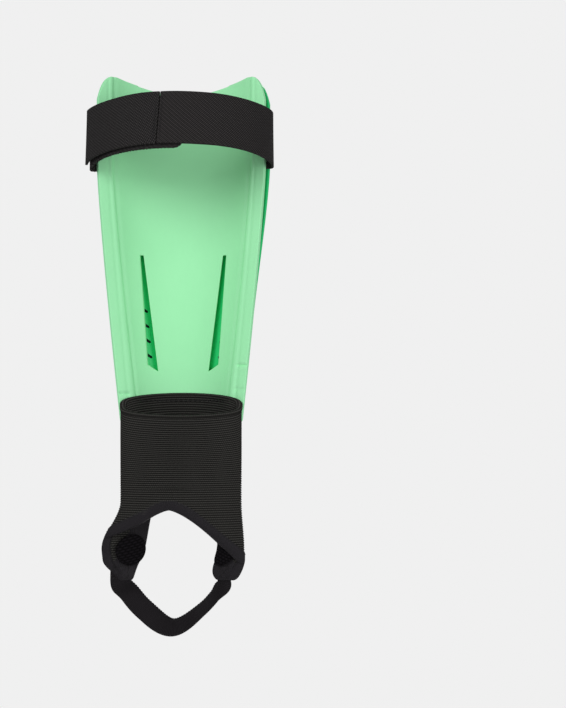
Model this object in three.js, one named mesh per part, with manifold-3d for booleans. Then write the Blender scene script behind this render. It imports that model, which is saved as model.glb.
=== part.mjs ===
// Left football shin guard with a calf strap, an ankle sleeve and a stirrup.
// Millimetres. +Z runs up the shin, +Y is the front of the leg, the leg lies on the -Y side.
// The origin is on the foam's inner face, on the centre line, about halfway up the guard.

import * as THREE from 'three';
import { ParametricGeometry } from 'three/addons/geometries/ParametricGeometry.js';
import { mergeVertices } from 'three/addons/utils/BufferGeometryUtils.js';
import Module from 'manifold-3d';

const wasm = await Module();
wasm.setup();

// ---------------------------------------------------------------- driving dimensions

// clearances
const touchGap = 0.3;        // between pieces that touch face to face
const sleeveGap = 0.8;       // between the foam and the front wall of the sleeve

// guard outline
const guardTop = 126;        // ear peaks
const guardBottom = -125;
const widestLevel = 63;      // height where the guard is widest
const notchDepth = 11.5;     // how far the middle of the top edge lies below the ears
const earPlace = 0.75;       // ear peak, as a share of the way from the centre line to the edge
const earDrop = 17;          // how far the outer corner of an ear falls away
const earPower = 4;          // how late it falls
const bottomLift = 9;        // how far the lower corners are rounded up
const cornerStart = 0.75;    // where a lower corner starts, as a share of the half width
const cornerPower = 2.2;

// guard section: a round panel, a bevel that bends back, and a flat flange
const panelHalfTop = 47.6;   // half width of the round panel at the widest level
const panelHalfBottom = 29;
const bevelTop = 4.8;        // width of the bevel along the surface
const bevelBottom = 7.5;
const flangeTop = 8;         // width of the flange along the surface
const flangeBottom = 7.2;
const panelAngle = THREE.MathUtils.degToRad(54);   // slope where the panel meets the bevel
const flangeAngle = THREE.MathUtils.degToRad(30);  // slope of the flange
const widthPower = 1.2;      // how fast the guard widens from the bottom

// foam
const foamThickness = 5;
const flangeThickness = foamThickness - 2;

// vent slots in the foam
const slotTopZ = 1;
const slotBottomZ = -82;
const slotTopX = 29.6;
const slotBottomX = 21.4;
const slotTopWidth = 2.4;
const slotBottomWidth = 6.8;
const slotSlant = 5;         // the outer lower corner is this much higher

// shell
const shellThickness = 2.2;
const shellInset = 3;        // shell edge inside the foam edge
const shellLip = 3.2;        // how far the shell stands past the foam at the upper right
const shellLipStart = -50;   // the lip grows from here up to the widest level
const ridgeHeight = 1.4;     // raised centre ridge on the front
const ridgeHalfWidth = 17;
const ventCount = 4;
const ventPitch = 10.9;
const ventLowestZ = -72.5;   // where the lowest vent meets the middle of the foam slot
const ventLength = 10;
const ventWidth = 1.8;
const ventShiftRight = 2.2;  // the right column of vents lies further out
const ventAngle = THREE.MathUtils.degToRad(35);    // vents fall towards the centre line

// calf strap
const strapWidth = 38;
const strapCentreZ = 79.5;   // where the strap leaves the guard
const strapRise = 8.2;       // how much higher it lies behind the calf
const strapRisePower = 1.5;
const strapThickness = 1.8;
const strapReach = 44;       // from the guard's edge plane to the strap behind the calf
const strapBulge = 6;        // length of the tangent along which the strap leaves the guard
const strapShoulder = 0.72;  // where it turns behind the calf, as a share of its half width
const strapLean = THREE.MathUtils.degToRad(18);    // lower edge stands out behind the calf
const anchorHold = 7;        // length of strap held between foam and shell
const pivotClear = 2.5;      // from the shell edge to the line where the strap bends
const layerRise = 0.3;       // share of the curve over which the strap moves outside the tab
const lapSeamX = -11.5;
const lapHalfGap = 0.001;    // shares of the curve
const strapEndPlace = 0.9;
const stitchWidth = 1.2;
const stitchThickness = 0.5;

// hook tab
const tabThickness = 1.5;
const tabEndX = 5;
const hookThickness = 0.8;
const hookStartX = -44;
const hookMargin = 1.5;

// ankle sleeve
const sleeveHalfWidth = 42.3;
const sleeveWall = 1.8;
const sleeveFold = 3;        // thickness at the side folds
const rearBulge = 9;         // how far the rear wall stands out past the side folds
const frontRimZ = -100.6;
const rearRimZ = -115;
const rimPower = 0.6;        // below 1 the rim is level in front and behind and steep at the folds
const hemHeight = 2.8;
const seamStart = THREE.MathUtils.degToRad(50);  // the sewn seam on the panel, from the right fold
const sleeveFlatStart = -125;
const sleeveFlatEnd = -180;
const sleeveFlatShare = 0.62;   // front wall depth left at the lower end
const bindingWidth = 9;
const bindingProud = 0.5;
const bindingGap = 0.6;      // the edge is steep, so the gap across it is smaller than this

// cut-outs and lobes
const archShiftX = -8;       // highest point of the heel cut-out
const heelArchZ = -178;
const instepArchZ = -174;
const heelDropRight = 38;    // how far the heel edge falls to the right fold
const heelDropLeft = 20;
const heelPower = 1.4;
const lobeBottomZ = -228;
const lobeInnerX = sleeveHalfWidth - 23.3;   // where the instep edge starts to fall
const lobeOuterX = sleeveHalfWidth - 9.3;    // where it has reached the lobe
const lobeTurn = THREE.MathUtils.degToRad(26);   // from a side fold to the full depth of a lobe
const lobeFlareLeft = 13.5;  // the left lobe's outer edge is turned outwards
const lobeFlareRight = 2;
const lobeTuckLeft = -3;     // how far a lobe's inner edge is turned inwards
const lobeTuckRight = 9;
const tuckStartZ = -205;
const tuckEndZ = -226;
const lobeWaist = 5;         // from the start of the instep's fall to the part of a lobe that flares
const flareStartZ = -172;
const flareEndZ = -207;
const flareRoundZ = -214;    // below this the lobes are rounded in again
const flareRoundShare = 0.6;

// ankle pads
const padHalfWidth = 5;
const padHalfHeight = 10;
const padThickness = 2;
const padCentreX = sleeveHalfWidth - 9.6;
const padCentreZ = -206.5;
const padGap = 2.2;          // between a pad and the curved wall behind it
const liningThickness = 0.8;
const liningMargin = 1;

// stirrup
const stirrupWidth = 15;
const stirrupThickness = 1.5;
const stirrupDrop = 31;      // from the lobes to the lowest point
const stirrupLowX = -7;
const stirrupLeftX = -sleeveHalfWidth;
const stirrupRightX = sleeveHalfWidth - 12.3;
const stirrupTurns = [52, 88, 42, 26, 28];   // degrees its face is turned to the rear, left to right
const stirrupClear = 4;      // the strap hangs this far below its sewn ends
const tackHeight = 11;

// ---------------------------------------------------------------- guard section

const { clamp, lerp, smoothstep } = THREE.MathUtils;

function widthShare(z) {
  const t = clamp((z - guardBottom) / (widestLevel - guardBottom), 0, 1);
  return 1 - Math.pow(1 - t, widthPower);
}

// Sizes of the section at one height. The bevel bends back from the panel's slope to the flange's.
function sectionAt(z) {
  const share = widthShare(z);
  const panelHalf = lerp(panelHalfBottom, panelHalfTop, share);
  const bevel = lerp(bevelBottom, bevelTop, share);
  const flange = lerp(flangeBottom, flangeTop, share);
  const radius = panelHalf / Math.sin(panelAngle);
  const bend = bevel / (panelAngle - flangeAngle);
  const panelArc = radius * panelAngle;
  const panelDepth = radius * (1 - Math.cos(panelAngle));
  const bevelX = panelHalf + bend * (Math.sin(panelAngle) - Math.sin(flangeAngle));
  const bevelDepth = panelDepth + bend * (Math.cos(flangeAngle) - Math.cos(panelAngle));
  const edgeX = bevelX + flange * Math.cos(flangeAngle);
  const depth = bevelDepth + flange * Math.sin(flangeAngle);
  return { radius, bend, bevel, flange, panelHalf, panelArc, panelDepth, bevelX, bevelDepth, edgeX, depth };
}

const edgeY = -sectionAt(0).depth;   // the plane that both side edges lie in

function edgeArc(z) {
  const s = sectionAt(z);
  return s.panelArc + s.bevel + s.flange;
}

// A point on the guard: arc is measured along the inner face from the centre line, offset to the front.
function guardPoint(z, arc, offset) {
  const s = sectionAt(z);
  const side = Math.sign(arc) || 1;
  const far = Math.abs(arc);
  let slope = far / s.radius;
  let x = s.radius * Math.sin(slope);
  let depth = s.radius * (1 - Math.cos(slope));
  if (far > s.panelArc) {
    const along = Math.min(far - s.panelArc, s.bevel);
    slope = panelAngle - along / s.bend;
    x = s.panelHalf + s.bend * (Math.sin(panelAngle) - Math.sin(slope));
    depth = s.panelDepth + s.bend * (Math.cos(slope) - Math.cos(panelAngle));
  }
  if (far > s.panelArc + s.bevel) {
    const along = far - s.panelArc - s.bevel;
    x += along * Math.cos(flangeAngle);
    depth += along * Math.sin(flangeAngle);
  }
  const y = edgeY + s.depth - depth + offset * Math.cos(slope);
  return new THREE.Vector3(side * (x + offset * Math.sin(slope)), y, z);
}

// The inner face of the guard as a height over x.
function innerFaceY(x, z) {
  const s = sectionAt(z);
  const far = Math.abs(x);
  let depth = 0;
  if (far <= s.panelHalf) {
    depth = s.radius - Math.sqrt(s.radius * s.radius - far * far);
  } else if (far <= s.bevelX) {
    const slopeSine = Math.sin(panelAngle) - (far - s.panelHalf) / s.bend;
    depth = s.panelDepth + s.bend * (Math.sqrt(1 - slopeSine * slopeSine) - Math.cos(panelAngle));
  } else {
    depth = s.bevelDepth + (far - s.bevelX) * Math.tan(flangeAngle);
  }
  return edgeY + s.depth - depth;
}

// Top and bottom edges of the guard, for a share of the way from the centre line to the edge.
function topEdge(share) {
  const far = Math.abs(share);
  if (far < earPlace) {
    return guardTop - notchDepth * (1 - far / earPlace);
  }
  return guardTop - earDrop * Math.pow((far - earPlace) / (1 - earPlace), earPower);
}

function bottomEdge(share) {
  const corner = Math.max(0, (Math.abs(share) - cornerStart) / (1 - cornerStart));
  return guardBottom + bottomLift * Math.pow(corner, cornerPower);
}

// ---------------------------------------------------------------- solids from two-sided grids

function closed(geometry) {
  geometry.deleteAttribute('normal');
  geometry.deleteAttribute('uv');
  const merged = mergeVertices(geometry, 1e-4);
  const kept = [];
  const index = merged.index.array;
  for (let i = 0; i < index.length; i += 3) {
    const [a, b, c] = [index[i], index[i + 1], index[i + 2]];
    if (a !== b && b !== c && c !== a) {
      kept.push(a, b, c);
    }
  }
  merged.setIndex(kept);
  return facingOut(merged);
}

function facingOut(geometry) {
  const position = geometry.attributes.position;
  const index = geometry.index.array;
  const corner = [new THREE.Vector3(), new THREE.Vector3(), new THREE.Vector3()];
  let volume = 0;
  for (let i = 0; i < index.length; i += 3) {
    corner.forEach((p, k) => p.fromBufferAttribute(position, index[i + k]));
    volume += corner[0].dot(corner[1].clone().cross(corner[2]));
  }
  if (volume < 0) {
    for (let i = 0; i < index.length; i += 3) {
      [index[i + 1], index[i + 2]] = [index[i + 2], index[i + 1]];
    }
  }
  geometry.computeVertexNormals();
  return geometry;
}

// Which grid column and which face a step round the thin section stands for.
function roundSection(step, across) {
  if (step === 2 * across + 2) {
    return [0, 0];
  }
  return step <= across ? [step, 0] : [2 * across + 1 - step, 1];
}

// A sheet with ends: point(i, j, face) with i across, j along, face 0 or 1.
function sheet(across, along, point) {
  const slices = 2 * across + 2;
  const stacks = along + 2;
  return closed(new ParametricGeometry((u, v, target) => {
    const [i, face] = roundSection(Math.round(u * slices), across);
    const row = Math.round(v * stacks);
    const j = clamp(row - 1, 0, along);
    if (row === 0 || row === stacks) {
      target.copy(point(i, j, 0)).add(point(i, j, 1)).multiplyScalar(0.5);
    } else {
      target.copy(point(i, j, face));
    }
  }, slices, stacks));
}

// A band that closes on itself: j runs round the ring, i across the band.
function ring(across, around, point) {
  const slices = 2 * across + 2;
  return closed(new ParametricGeometry((u, v, target) => {
    const [i, face] = roundSection(Math.round(u * slices), across);
    target.copy(point(i, Math.round(v * around) % around, face));
  }, slices, around));
}

// A lens: a disc with two faces that meet at its rim. point(spread, angle, face).
function lens(around, rings, point) {
  const stacks = 2 * rings;
  return closed(new ParametricGeometry((u, v, target) => {
    const step = Math.round(v * stacks);
    const face = step <= rings ? 0 : 1;
    const spread = Math.min(step, stacks - step) / rings;
    const angle = 2 * Math.PI * (Math.round(u * around) % around) / around;
    target.copy(point(spread, angle, face));
  }, around, stacks));
}

function toSolid(geometry) {
  const vertProperties = new Float32Array(geometry.attributes.position.array);
  const triVerts = new Uint32Array(geometry.index.array);
  return new wasm.Manifold(new wasm.Mesh({ numProp: 3, vertProperties, triVerts }));
}

function toGeometry(solid) {
  const mesh = solid.getMesh();
  const geometry = new THREE.BufferGeometry();
  geometry.setAttribute('position', new THREE.BufferAttribute(new Float32Array(mesh.vertProperties), 3));
  geometry.setIndex(new THREE.BufferAttribute(new Uint32Array(mesh.triVerts), 1));
  geometry.computeVertexNormals();
  return geometry;
}

// A prism through the whole guard, front to back, from an outline of [x, z] corners.
function cutter(corners) {
  const cutDepth = 120;
  const shape = new THREE.Shape(corners.map(([x, z]) => new THREE.Vector2(x, z)));
  const geometry = new THREE.ExtrudeGeometry(shape, { depth: cutDepth, bevelEnabled: false });
  geometry.rotateX(Math.PI / 2);
  geometry.translate(0, cutDepth / 2, 0);
  return toSolid(closed(geometry));
}

// ---------------------------------------------------------------- foam and shell

const panelCells = 16;
const bevelCells = 3;
const flangeCells = 2;
const guardCells = panelCells + 2 * (bevelCells + flangeCells);
const guardRows = 22;

// Distance along the section for grid column i, so that columns follow the panel, bevel and flange.
function columnArc(i, z) {
  const s = sectionAt(z);
  const middle = guardCells / 2;
  const side = Math.sign(i - middle);
  const step = Math.abs(i - middle);
  const panelSteps = panelCells / 2;
  const onPanel = Math.min(step, panelSteps) / panelSteps;
  const onBevel = clamp(step - panelSteps, 0, bevelCells) / bevelCells;
  const onFlange = clamp(step - panelSteps - bevelCells, 0, flangeCells) / flangeCells;
  return side * (onPanel * s.panelArc + onBevel * s.bevel + onFlange * s.flange);
}

function foamThicknessAt(arc, z) {
  const s = sectionAt(z);
  const onBevel = clamp((Math.abs(arc) - s.panelArc) / s.bevel, 0, 1);
  return lerp(foamThickness, flangeThickness, onBevel);
}

function gridHeight(share, row, rows, inset) {
  return lerp(bottomEdge(share) + inset, topEdge(share) - inset, row / rows);
}

function foamGeometry() {
  const solid = sheet(guardCells, guardRows, (i, j, face) => {
    const share = columnArc(i, 0) / edgeArc(0);
    const z = gridHeight(share, j, guardRows, 0);
    const arc = columnArc(i, z);
    return guardPoint(z, arc, face * foamThicknessAt(arc, z));
  });
  let foam = toSolid(solid);
  for (const side of [-1, 1]) {
    const corners = [
      [side * (slotTopX - slotTopWidth / 2), slotTopZ],
      [side * (slotTopX + slotTopWidth / 2), slotTopZ],
      [side * (slotBottomX + slotBottomWidth / 2), slotBottomZ + slotSlant],
      [side * (slotBottomX - slotBottomWidth / 2), slotBottomZ],
    ];
    foam = foam.subtract(cutter(corners));
  }
  return toGeometry(foam);
}

const shellOffset = foamThickness + touchGap;

// Where the shell ends on each side. The lip on the right shows past the foam.
function shellEdgeArc(z, side) {
  const inner = edgeArc(z) - shellInset;
  if (side < 0) {
    return inner;
  }
  const rise = smoothstep(z, shellLipStart, widestLevel);
  return inner + rise * (shellInset + shellLip - shellOffset * Math.sin(flangeAngle));
}

function ridge(x) {
  return ridgeHeight * (1 - smoothstep(Math.abs(x), 0, ridgeHalfWidth));
}

function shellGeometry() {
  const across = 26;
  const solid = sheet(across, guardRows, (i, j, face) => {
    const share = 2 * i / across - 1;
    const z = gridHeight(share, j, guardRows, shellInset);
    const arc = share * shellEdgeArc(z, share);
    const inner = guardPoint(z, arc, shellOffset);
    return face === 0 ? inner : guardPoint(z, arc, shellOffset + shellThickness + ridge(inner.x));
  });
  let shell = toSolid(solid);
  for (const side of [-1, 1]) {
    for (let n = 0; n < ventCount; n++) {
      const z = ventLowestZ + n * ventPitch;
      const share = (z - slotBottomZ) / (slotTopZ - slotBottomZ);
      const x = lerp(slotBottomX, slotTopX, share) + (side > 0 ? ventShiftRight : 0);
      shell = shell.subtract(cutter(ventOutline(side, x, z)));
    }
  }
  return toGeometry(shell);
}

// A slanted vent with pointed ends, which starts at x, z and rises outwards.
function ventOutline(side, x, z) {
  const along = [Math.cos(ventAngle), Math.sin(ventAngle)];
  const across = [-along[1], along[0]];
  const corners = [[0, 0], [0.1, -0.5], [0.9, -0.5], [1, 0], [0.9, 0.5], [0.1, 0.5]];
  return corners.map(([a, b]) => {
    const dx = a * ventLength * along[0] + b * ventWidth * across[0];
    const dz = a * ventLength * along[1] + b * ventWidth * across[1];
    return [side * (x + dx), z + dz];
  });
}

// ---------------------------------------------------------------- calf strap and hook tab

const strapTop = strapCentreZ + strapWidth / 2;
const strapLow = strapCentreZ - strapWidth / 2;
const anchorOffset = flangeThickness + touchGap;

// The arc length at which the strap leaves the guard, just past the foam and the shell.
function exitArc(side) {
  const past = Math.max(edgeArc(strapCentreZ), shellEdgeArc(strapCentreZ, side));
  return side * (past + pivotClear);
}

// Plan view of the strap: out along the flange, round the side and across behind the calf.
function strapHalf(side) {
  const start = guardPoint(strapCentreZ, exitArc(side), anchorOffset + strapThickness / 2);
  const out = new THREE.Vector2(side * Math.cos(flangeAngle), -Math.sin(flangeAngle));
  const first = new THREE.Vector2(start.x, start.y);
  const last = new THREE.Vector2(0, edgeY - strapReach);
  const shoulder = Math.abs(start.x) * strapShoulder;
  return new THREE.CubicBezierCurve(
    first,
    first.clone().addScaledVector(out, strapBulge),
    new THREE.Vector2(side * shoulder, edgeY - strapReach),
    last,
  );
}

const rightHalf = strapHalf(1);
const leftHalf = strapHalf(-1);

// The strap's plan curve from right (0) to left (1), with its outward normal.
function strapPlan(t) {
  const onRight = t <= 0.5;
  const curve = onRight ? rightHalf : leftHalf;
  const local = onRight ? 2 * t : 2 - 2 * t;
  const point = curve.getPoint(local);
  const tangent = curve.getTangent(local).multiplyScalar(onRight ? 1 : -1);
  return { point, normal: new THREE.Vector2(-tangent.y, tangent.x) };
}

// The curve place whose x is given, found by halving.
function placeAtX(x) {
  let [low, high] = [0.15, 0.85];
  for (let n = 0; n < 30; n++) {
    const middle = (low + high) / 2;
    if (strapPlan(middle).point.x > x) {
      low = middle;
    } else {
      high = middle;
    }
  }
  return low;
}

// A point on a strap layer: t along the curve, rise from -1 to 1 across its width.
function strapPoint(t, rise, offset, halfWidth) {
  const { point, normal } = strapPlan(t);
  const lean = strapLean * Math.pow(Math.sin(Math.PI * t), 2);
  const up = rise * halfWidth;
  const outward = offset * Math.cos(lean) - up * Math.sin(lean);
  const centreZ = strapCentreZ + strapRise * Math.pow(Math.sin(Math.PI * t), strapRisePower);
  const z = centreZ + up * Math.cos(lean) + offset * Math.sin(lean);
  return new THREE.Vector3(point.x + normal.x * outward, point.y + normal.y * outward, z);
}

const hookOffset = tabThickness / 2 + touchGap;
const loopOffset = hookOffset + hookThickness + touchGap;

// The strap leaves the guard on the curve and then lies outside the tab.
function strapLayer(t) {
  const rise = smoothstep(t, 0, layerRise);
  return loopOffset * rise - strapThickness / 2 * (1 - rise);
}

function strapBand(from, to, along) {
  return sheet(2, along, (i, j, face) => {
    const t = lerp(from, to, j / along);
    return strapPoint(t, i - 1, strapLayer(t) + face * strapThickness, strapWidth / 2);
  });
}

const lapPlace = placeAtX(lapSeamX);

function lapStitchGeometry() {
  const halfSpan = stitchWidth / 2 / (4 * strapReach);
  return sheet(2, 2, (i, j, face) => {
    const t = lapPlace + (j - 1) * halfSpan;
    const offset = strapLayer(t) + strapThickness + touchGap + face * stitchThickness;
    return strapPoint(t, i - 1, offset, strapWidth / 2 - 2 * hookMargin);
  });
}

function tabGeometry() {
  const from = placeAtX(tabEndX);
  const along = 20;
  return sheet(2, along, (i, j, face) => {
    const t = lerp(from, 1, j / along);
    return strapPoint(t, i - 1, (face - 0.5) * tabThickness, strapWidth / 2);
  });
}

function hookGeometry() {
  const from = placeAtX(tabEndX - hookMargin);
  const to = placeAtX(hookStartX);
  const along = 12;
  return sheet(2, along, (i, j, face) => {
    const t = lerp(from, to, j / along);
    return strapPoint(t, i - 1, hookOffset + face * hookThickness, strapWidth / 2 - hookMargin);
  });
}

function anchorGeometry(side, thickness) {
  const along = 4;
  const exit = Math.abs(exitArc(side)) - touchGap;
  return sheet(2, along, (i, j, face) => {
    const z = strapCentreZ + (i - 1) * strapWidth / 2;
    const inner = edgeArc(z) - anchorHold;
    const outer = edgeArc(z) - edgeArc(strapCentreZ) + exit;
    const arc = side * lerp(inner, outer, j / along);
    return guardPoint(z, arc, anchorOffset + face * thickness);
  });
}

// ---------------------------------------------------------------- ankle sleeve

// Height of the mouth's rim round the sleeve. The angle is 0 at the right fold and 90 degrees in front.
function rimZ(angle) {
  const side = Math.sin(angle);
  return lerp(rearRimZ, frontRimZ, (1 + Math.sign(side) * Math.pow(Math.abs(side), rimPower)) / 2);
}

function heelEdge(x) {
  const toRight = x > archShiftX;
  const span = toRight ? sleeveHalfWidth - archShiftX : sleeveHalfWidth + archShiftX;
  const drop = toRight ? heelDropRight : heelDropLeft;
  return heelArchZ - drop * Math.pow(Math.abs(x - archShiftX) / span, heelPower);
}

function instepEdge(x, distance) {
  const fall = smoothstep(Math.abs(x), lobeInnerX + distance, lobeOuterX + distance);
  return lerp(instepArchZ, lobeBottomZ, fall);
}

// The edge at some distance above the lower edge: heel cut-out behind, instep cut-out and lobes in front.
function edgeAbove(angle, distance) {
  const x = sleeveHalfWidth * Math.cos(angle);
  const front = smoothstep(Math.sin(angle), 0, Math.sin(lobeTurn));
  return distance + lerp(heelEdge(x), instepEdge(x, distance), front);
}

// The lobes' outer edges turn outwards and their inner edges turn in or out.
function flared(point) {
  const low = smoothstep(-point.z, -flareStartZ, -flareEndZ);
  const kept = 1 - flareRoundShare * smoothstep(-point.z, -flareRoundZ, -lobeBottomZ);
  const tucked = smoothstep(-point.z, -tuckStartZ, -tuckEndZ);
  const aside = smoothstep(Math.abs(point.x), lobeInnerX + lobeWaist, sleeveHalfWidth);
  const flare = point.x < 0 ? lobeFlareLeft : lobeFlareRight;
  const tuck = point.x < 0 ? lobeTuckLeft : lobeTuckRight;
  point.x += Math.sign(point.x) * (flare * low * kept * aside - tuck * tucked * (1 - aside));
  return point;
}

function sleeveLevel(z) {
  return innerFaceY(sleeveHalfWidth, Math.max(z, guardBottom)) - sleeveGap;
}

// Height of the front wall over the side folds. It follows the foam and gets flatter below it.
function frontWall(x, z) {
  const level = Math.max(z, guardBottom);
  const flat = lerp(1, sleeveFlatShare, smoothstep(-z, -sleeveFlatStart, -sleeveFlatEnd));
  return flat * (innerFaceY(x, level) - sleeveGap - sleeveLevel(z));
}

// A point of the sleeve: inset 0 is the outer face and 1 the inner face. proud makes the wall thicker.
function sleevePoint(angle, z, inset, proud) {
  const outerX = sleeveHalfWidth * Math.cos(angle);
  const extra = (2 * inset - 1) * proud;
  const x = outerX * (1 - (inset * sleeveFold + extra) / sleeveHalfWidth);
  const front = frontWall(outerX, z);
  const rear = rearBulge * Math.sin(angle);
  const wall = inset * sleeveWall + extra;
  const top = frontWall(0, z);
  const y = Math.sin(angle) >= 0
    ? front * (top - wall) / top
    : rear * (rearBulge - wall) / rearBulge;
  return flared(new THREE.Vector3(x, sleeveLevel(z) + y, z));
}

const sleeveSteps = 64;
const crowding = 0.6;        // columns are closer together where the instep edge is steep

// A band of the sleeve between two edges, each a function from the angle to a height.
function sleeveBand(across, lowEdge, highEdge, proud) {
  return ring(across, sleeveSteps, (i, j, face) => {
    const even = 2 * Math.PI * j / sleeveSteps;
    const angle = even + crowding / 4 * Math.sin(4 * even);
    const z = lerp(lowEdge(angle), highEdge(angle), i / across);
    return sleevePoint(angle, z, face, proud);
  });
}

function seamStitchGeometry() {
  const along = 14;
  return sheet(1, along, (i, j, face) => {
    const angle = lerp(seamStart, Math.PI - seamStart, j / along);
    const z = frontRimZ - stitchWidth * (1 + i);
    const point = sleevePoint(angle, z, 1, 0);
    point.y -= touchGap + face * stitchThickness;
    return point;
  });
}

// ---------------------------------------------------------------- ankle pads and linings

function padPoint(side, spread, margin, angle, depth) {
  const x = padCentreX + (spread * padHalfWidth + margin) * Math.cos(angle);
  const z = padCentreZ + (spread * padHalfHeight + margin) * Math.sin(angle);
  const place = side * x / sleeveHalfWidth;
  const wall = sleevePoint(Math.acos(place), z, 1, 0);
  wall.y -= depth;
  return wall;
}

function padDepth(spread) {
  return padThickness * (1 - Math.pow(spread, 4));
}

const padSteps = 20;
const padRings = 4;

function padGeometry(side) {
  return lens(padSteps, padRings, (spread, angle, face) => {
    return padPoint(side, spread, 0, angle, padGap + face * padDepth(spread));
  });
}

// The lining's rings lie over the pad's, with one more for its own rim.
function liningGeometry(side) {
  const rings = padRings + 1;
  return lens(padSteps, rings, (spread, angle, face) => {
    const under = Math.min(1, spread * rings / padRings);
    const margin = spread === 1 ? liningMargin : 0;
    const thickness = spread === 1 ? 0 : liningThickness;
    const depth = padGap + touchGap + padDepth(under) + face * thickness;
    return padPoint(side, under, margin, angle, depth);
  });
}

// ---------------------------------------------------------------- stirrup

const stirrupTopZ = lobeBottomZ - stirrupClear;

// The front face of a lobe, where the stirrup's ends are sewn.
function lobeFaceY(x) {
  const angle = Math.acos(x / sleeveHalfWidth);
  return sleevePoint(angle, lobeBottomZ, 0, bindingProud).y;
}

const sewnInnerX = stirrupRightX - lobeFlareRight - stirrupWidth / 2 - touchGap;
const stirrupY = lobeFaceY(sewnInnerX) + 2 * touchGap + stirrupThickness / 2;

const stirrupCurve = new THREE.CatmullRomCurve3([
  new THREE.Vector3(stirrupLeftX, stirrupY, stirrupTopZ),
  new THREE.Vector3(lerp(stirrupLeftX, stirrupLowX, 0.42), stirrupY, stirrupTopZ - stirrupDrop * 0.57),
  new THREE.Vector3(stirrupLowX, stirrupY, stirrupTopZ - stirrupDrop),
  new THREE.Vector3(lerp(stirrupRightX, stirrupLowX, 0.42), stirrupY, stirrupTopZ - stirrupDrop * 0.57),
  new THREE.Vector3(stirrupRightX, stirrupY, stirrupTopZ),
]);

function stirrupTurn(t) {
  const spans = stirrupTurns.length - 1;
  const span = Math.min(Math.floor(spans * t), spans - 1);
  const degrees = lerp(stirrupTurns[span], stirrupTurns[span + 1], smoothstep(spans * t - span, 0, 1));
  return THREE.MathUtils.degToRad(degrees);
}

function stirrupGeometry() {
  const along = 36;
  return sheet(2, along, (i, j, face) => {
    const t = j / along;
    const tangent = stirrupCurve.getTangent(t);
    const inPlane = new THREE.Vector3(-tangent.z, 0, tangent.x);
    const turn = stirrupTurn(t);
    const across = new THREE.Vector3(0, Math.cos(turn), 0).addScaledVector(inPlane, Math.sin(turn));
    const normal = across.clone().cross(tangent);
    const point = stirrupCurve.getPoint(t).addScaledVector(across, (i - 1) * stirrupWidth / 2);
    return point.addScaledVector(normal, (face - 0.5) * stirrupThickness);
  });
}

function tackGeometry(side) {
  const x = side < 0 ? stirrupLeftX : stirrupRightX;
  const shape = new THREE.Shape();
  shape.moveTo(-stirrupWidth / 2, 0);
  shape.lineTo(stirrupWidth / 2, 0);
  shape.lineTo(stirrupWidth / 2, tackHeight);
  shape.lineTo(-stirrupWidth / 2, tackHeight);
  const geometry = new THREE.ExtrudeGeometry(shape, { depth: stirrupThickness, bevelEnabled: false });
  geometry.rotateX(Math.PI / 2);
  geometry.translate(x, stirrupY + stirrupThickness / 2, lobeBottomZ);
  return closed(geometry);
}

// ---------------------------------------------------------------- the assembly

const finishes = {
  foam: { color: 0xa7e8b7, roughness: 0.85 },
  shell: { color: 0x21c268, roughness: 0.45 },
  elastic: { color: 0x23211f, roughness: 0.9 },
  loop: { color: 0x2a2828, roughness: 0.95 },
  hook: { color: 0x1b1a1a, roughness: 0.8 },
  knit: { color: 0x31302e, roughness: 0.95 },
  binding: { color: 0x1f1d1f, roughness: 0.8 },
  lining: { color: 0x0f0d10, roughness: 0.9 },
  pad: { color: 0x2b2b2b, roughness: 0.9 },
  thread: { color: 0x191818, roughness: 0.7 },
};

const part = new THREE.Group();

function add(name, geometry, finish) {
  const material = new THREE.MeshStandardMaterial({ ...finishes[finish], metalness: 0 });
  const mesh = new THREE.Mesh(geometry, material);
  mesh.name = name;
  part.add(mesh);
}

add('foam_backing', foamGeometry(), 'foam');
add('shell', shellGeometry(), 'shell');

add('strap_anchor_right', anchorGeometry(1, strapThickness), 'elastic');
add('strap_anchor_left', anchorGeometry(-1, tabThickness), 'elastic');
add('strap_elastic', strapBand(0, lapPlace - lapHalfGap, 24), 'elastic');
add('strap_loop_panel', strapBand(lapPlace + lapHalfGap, strapEndPlace, 20), 'loop');
add('strap_lap_stitching', lapStitchGeometry(), 'thread');
add('hook_tab', tabGeometry(), 'elastic');
add('hook_patch', hookGeometry(), 'hook');

const edge = (distance) => (angle) => edgeAbove(angle, distance);
const rim = (height) => (angle) => rimZ(angle) + height;
add('ankle_sleeve', sleeveBand(10, edge(bindingWidth + bindingGap), rim(0), 0), 'knit');
add('sleeve_top_hem', sleeveBand(1, rim(touchGap), rim(hemHeight), 0), 'knit');
add('opening_binding', sleeveBand(2, edge(0), edge(bindingWidth), bindingProud), 'binding');
add('sleeve_seam_stitching', seamStitchGeometry(), 'thread');

for (const [side, label] of [[-1, 'left'], [1, 'right']]) {
  add(`ankle_pad_${label}`, padGeometry(side), 'pad');
  add(`pad_lining_${label}`, liningGeometry(side), 'lining');
  add(`stirrup_tack_${label}`, tackGeometry(side), 'thread');
}

add('stirrup_strap', stirrupGeometry(), 'elastic');

export default part;
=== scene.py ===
import math

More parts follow.
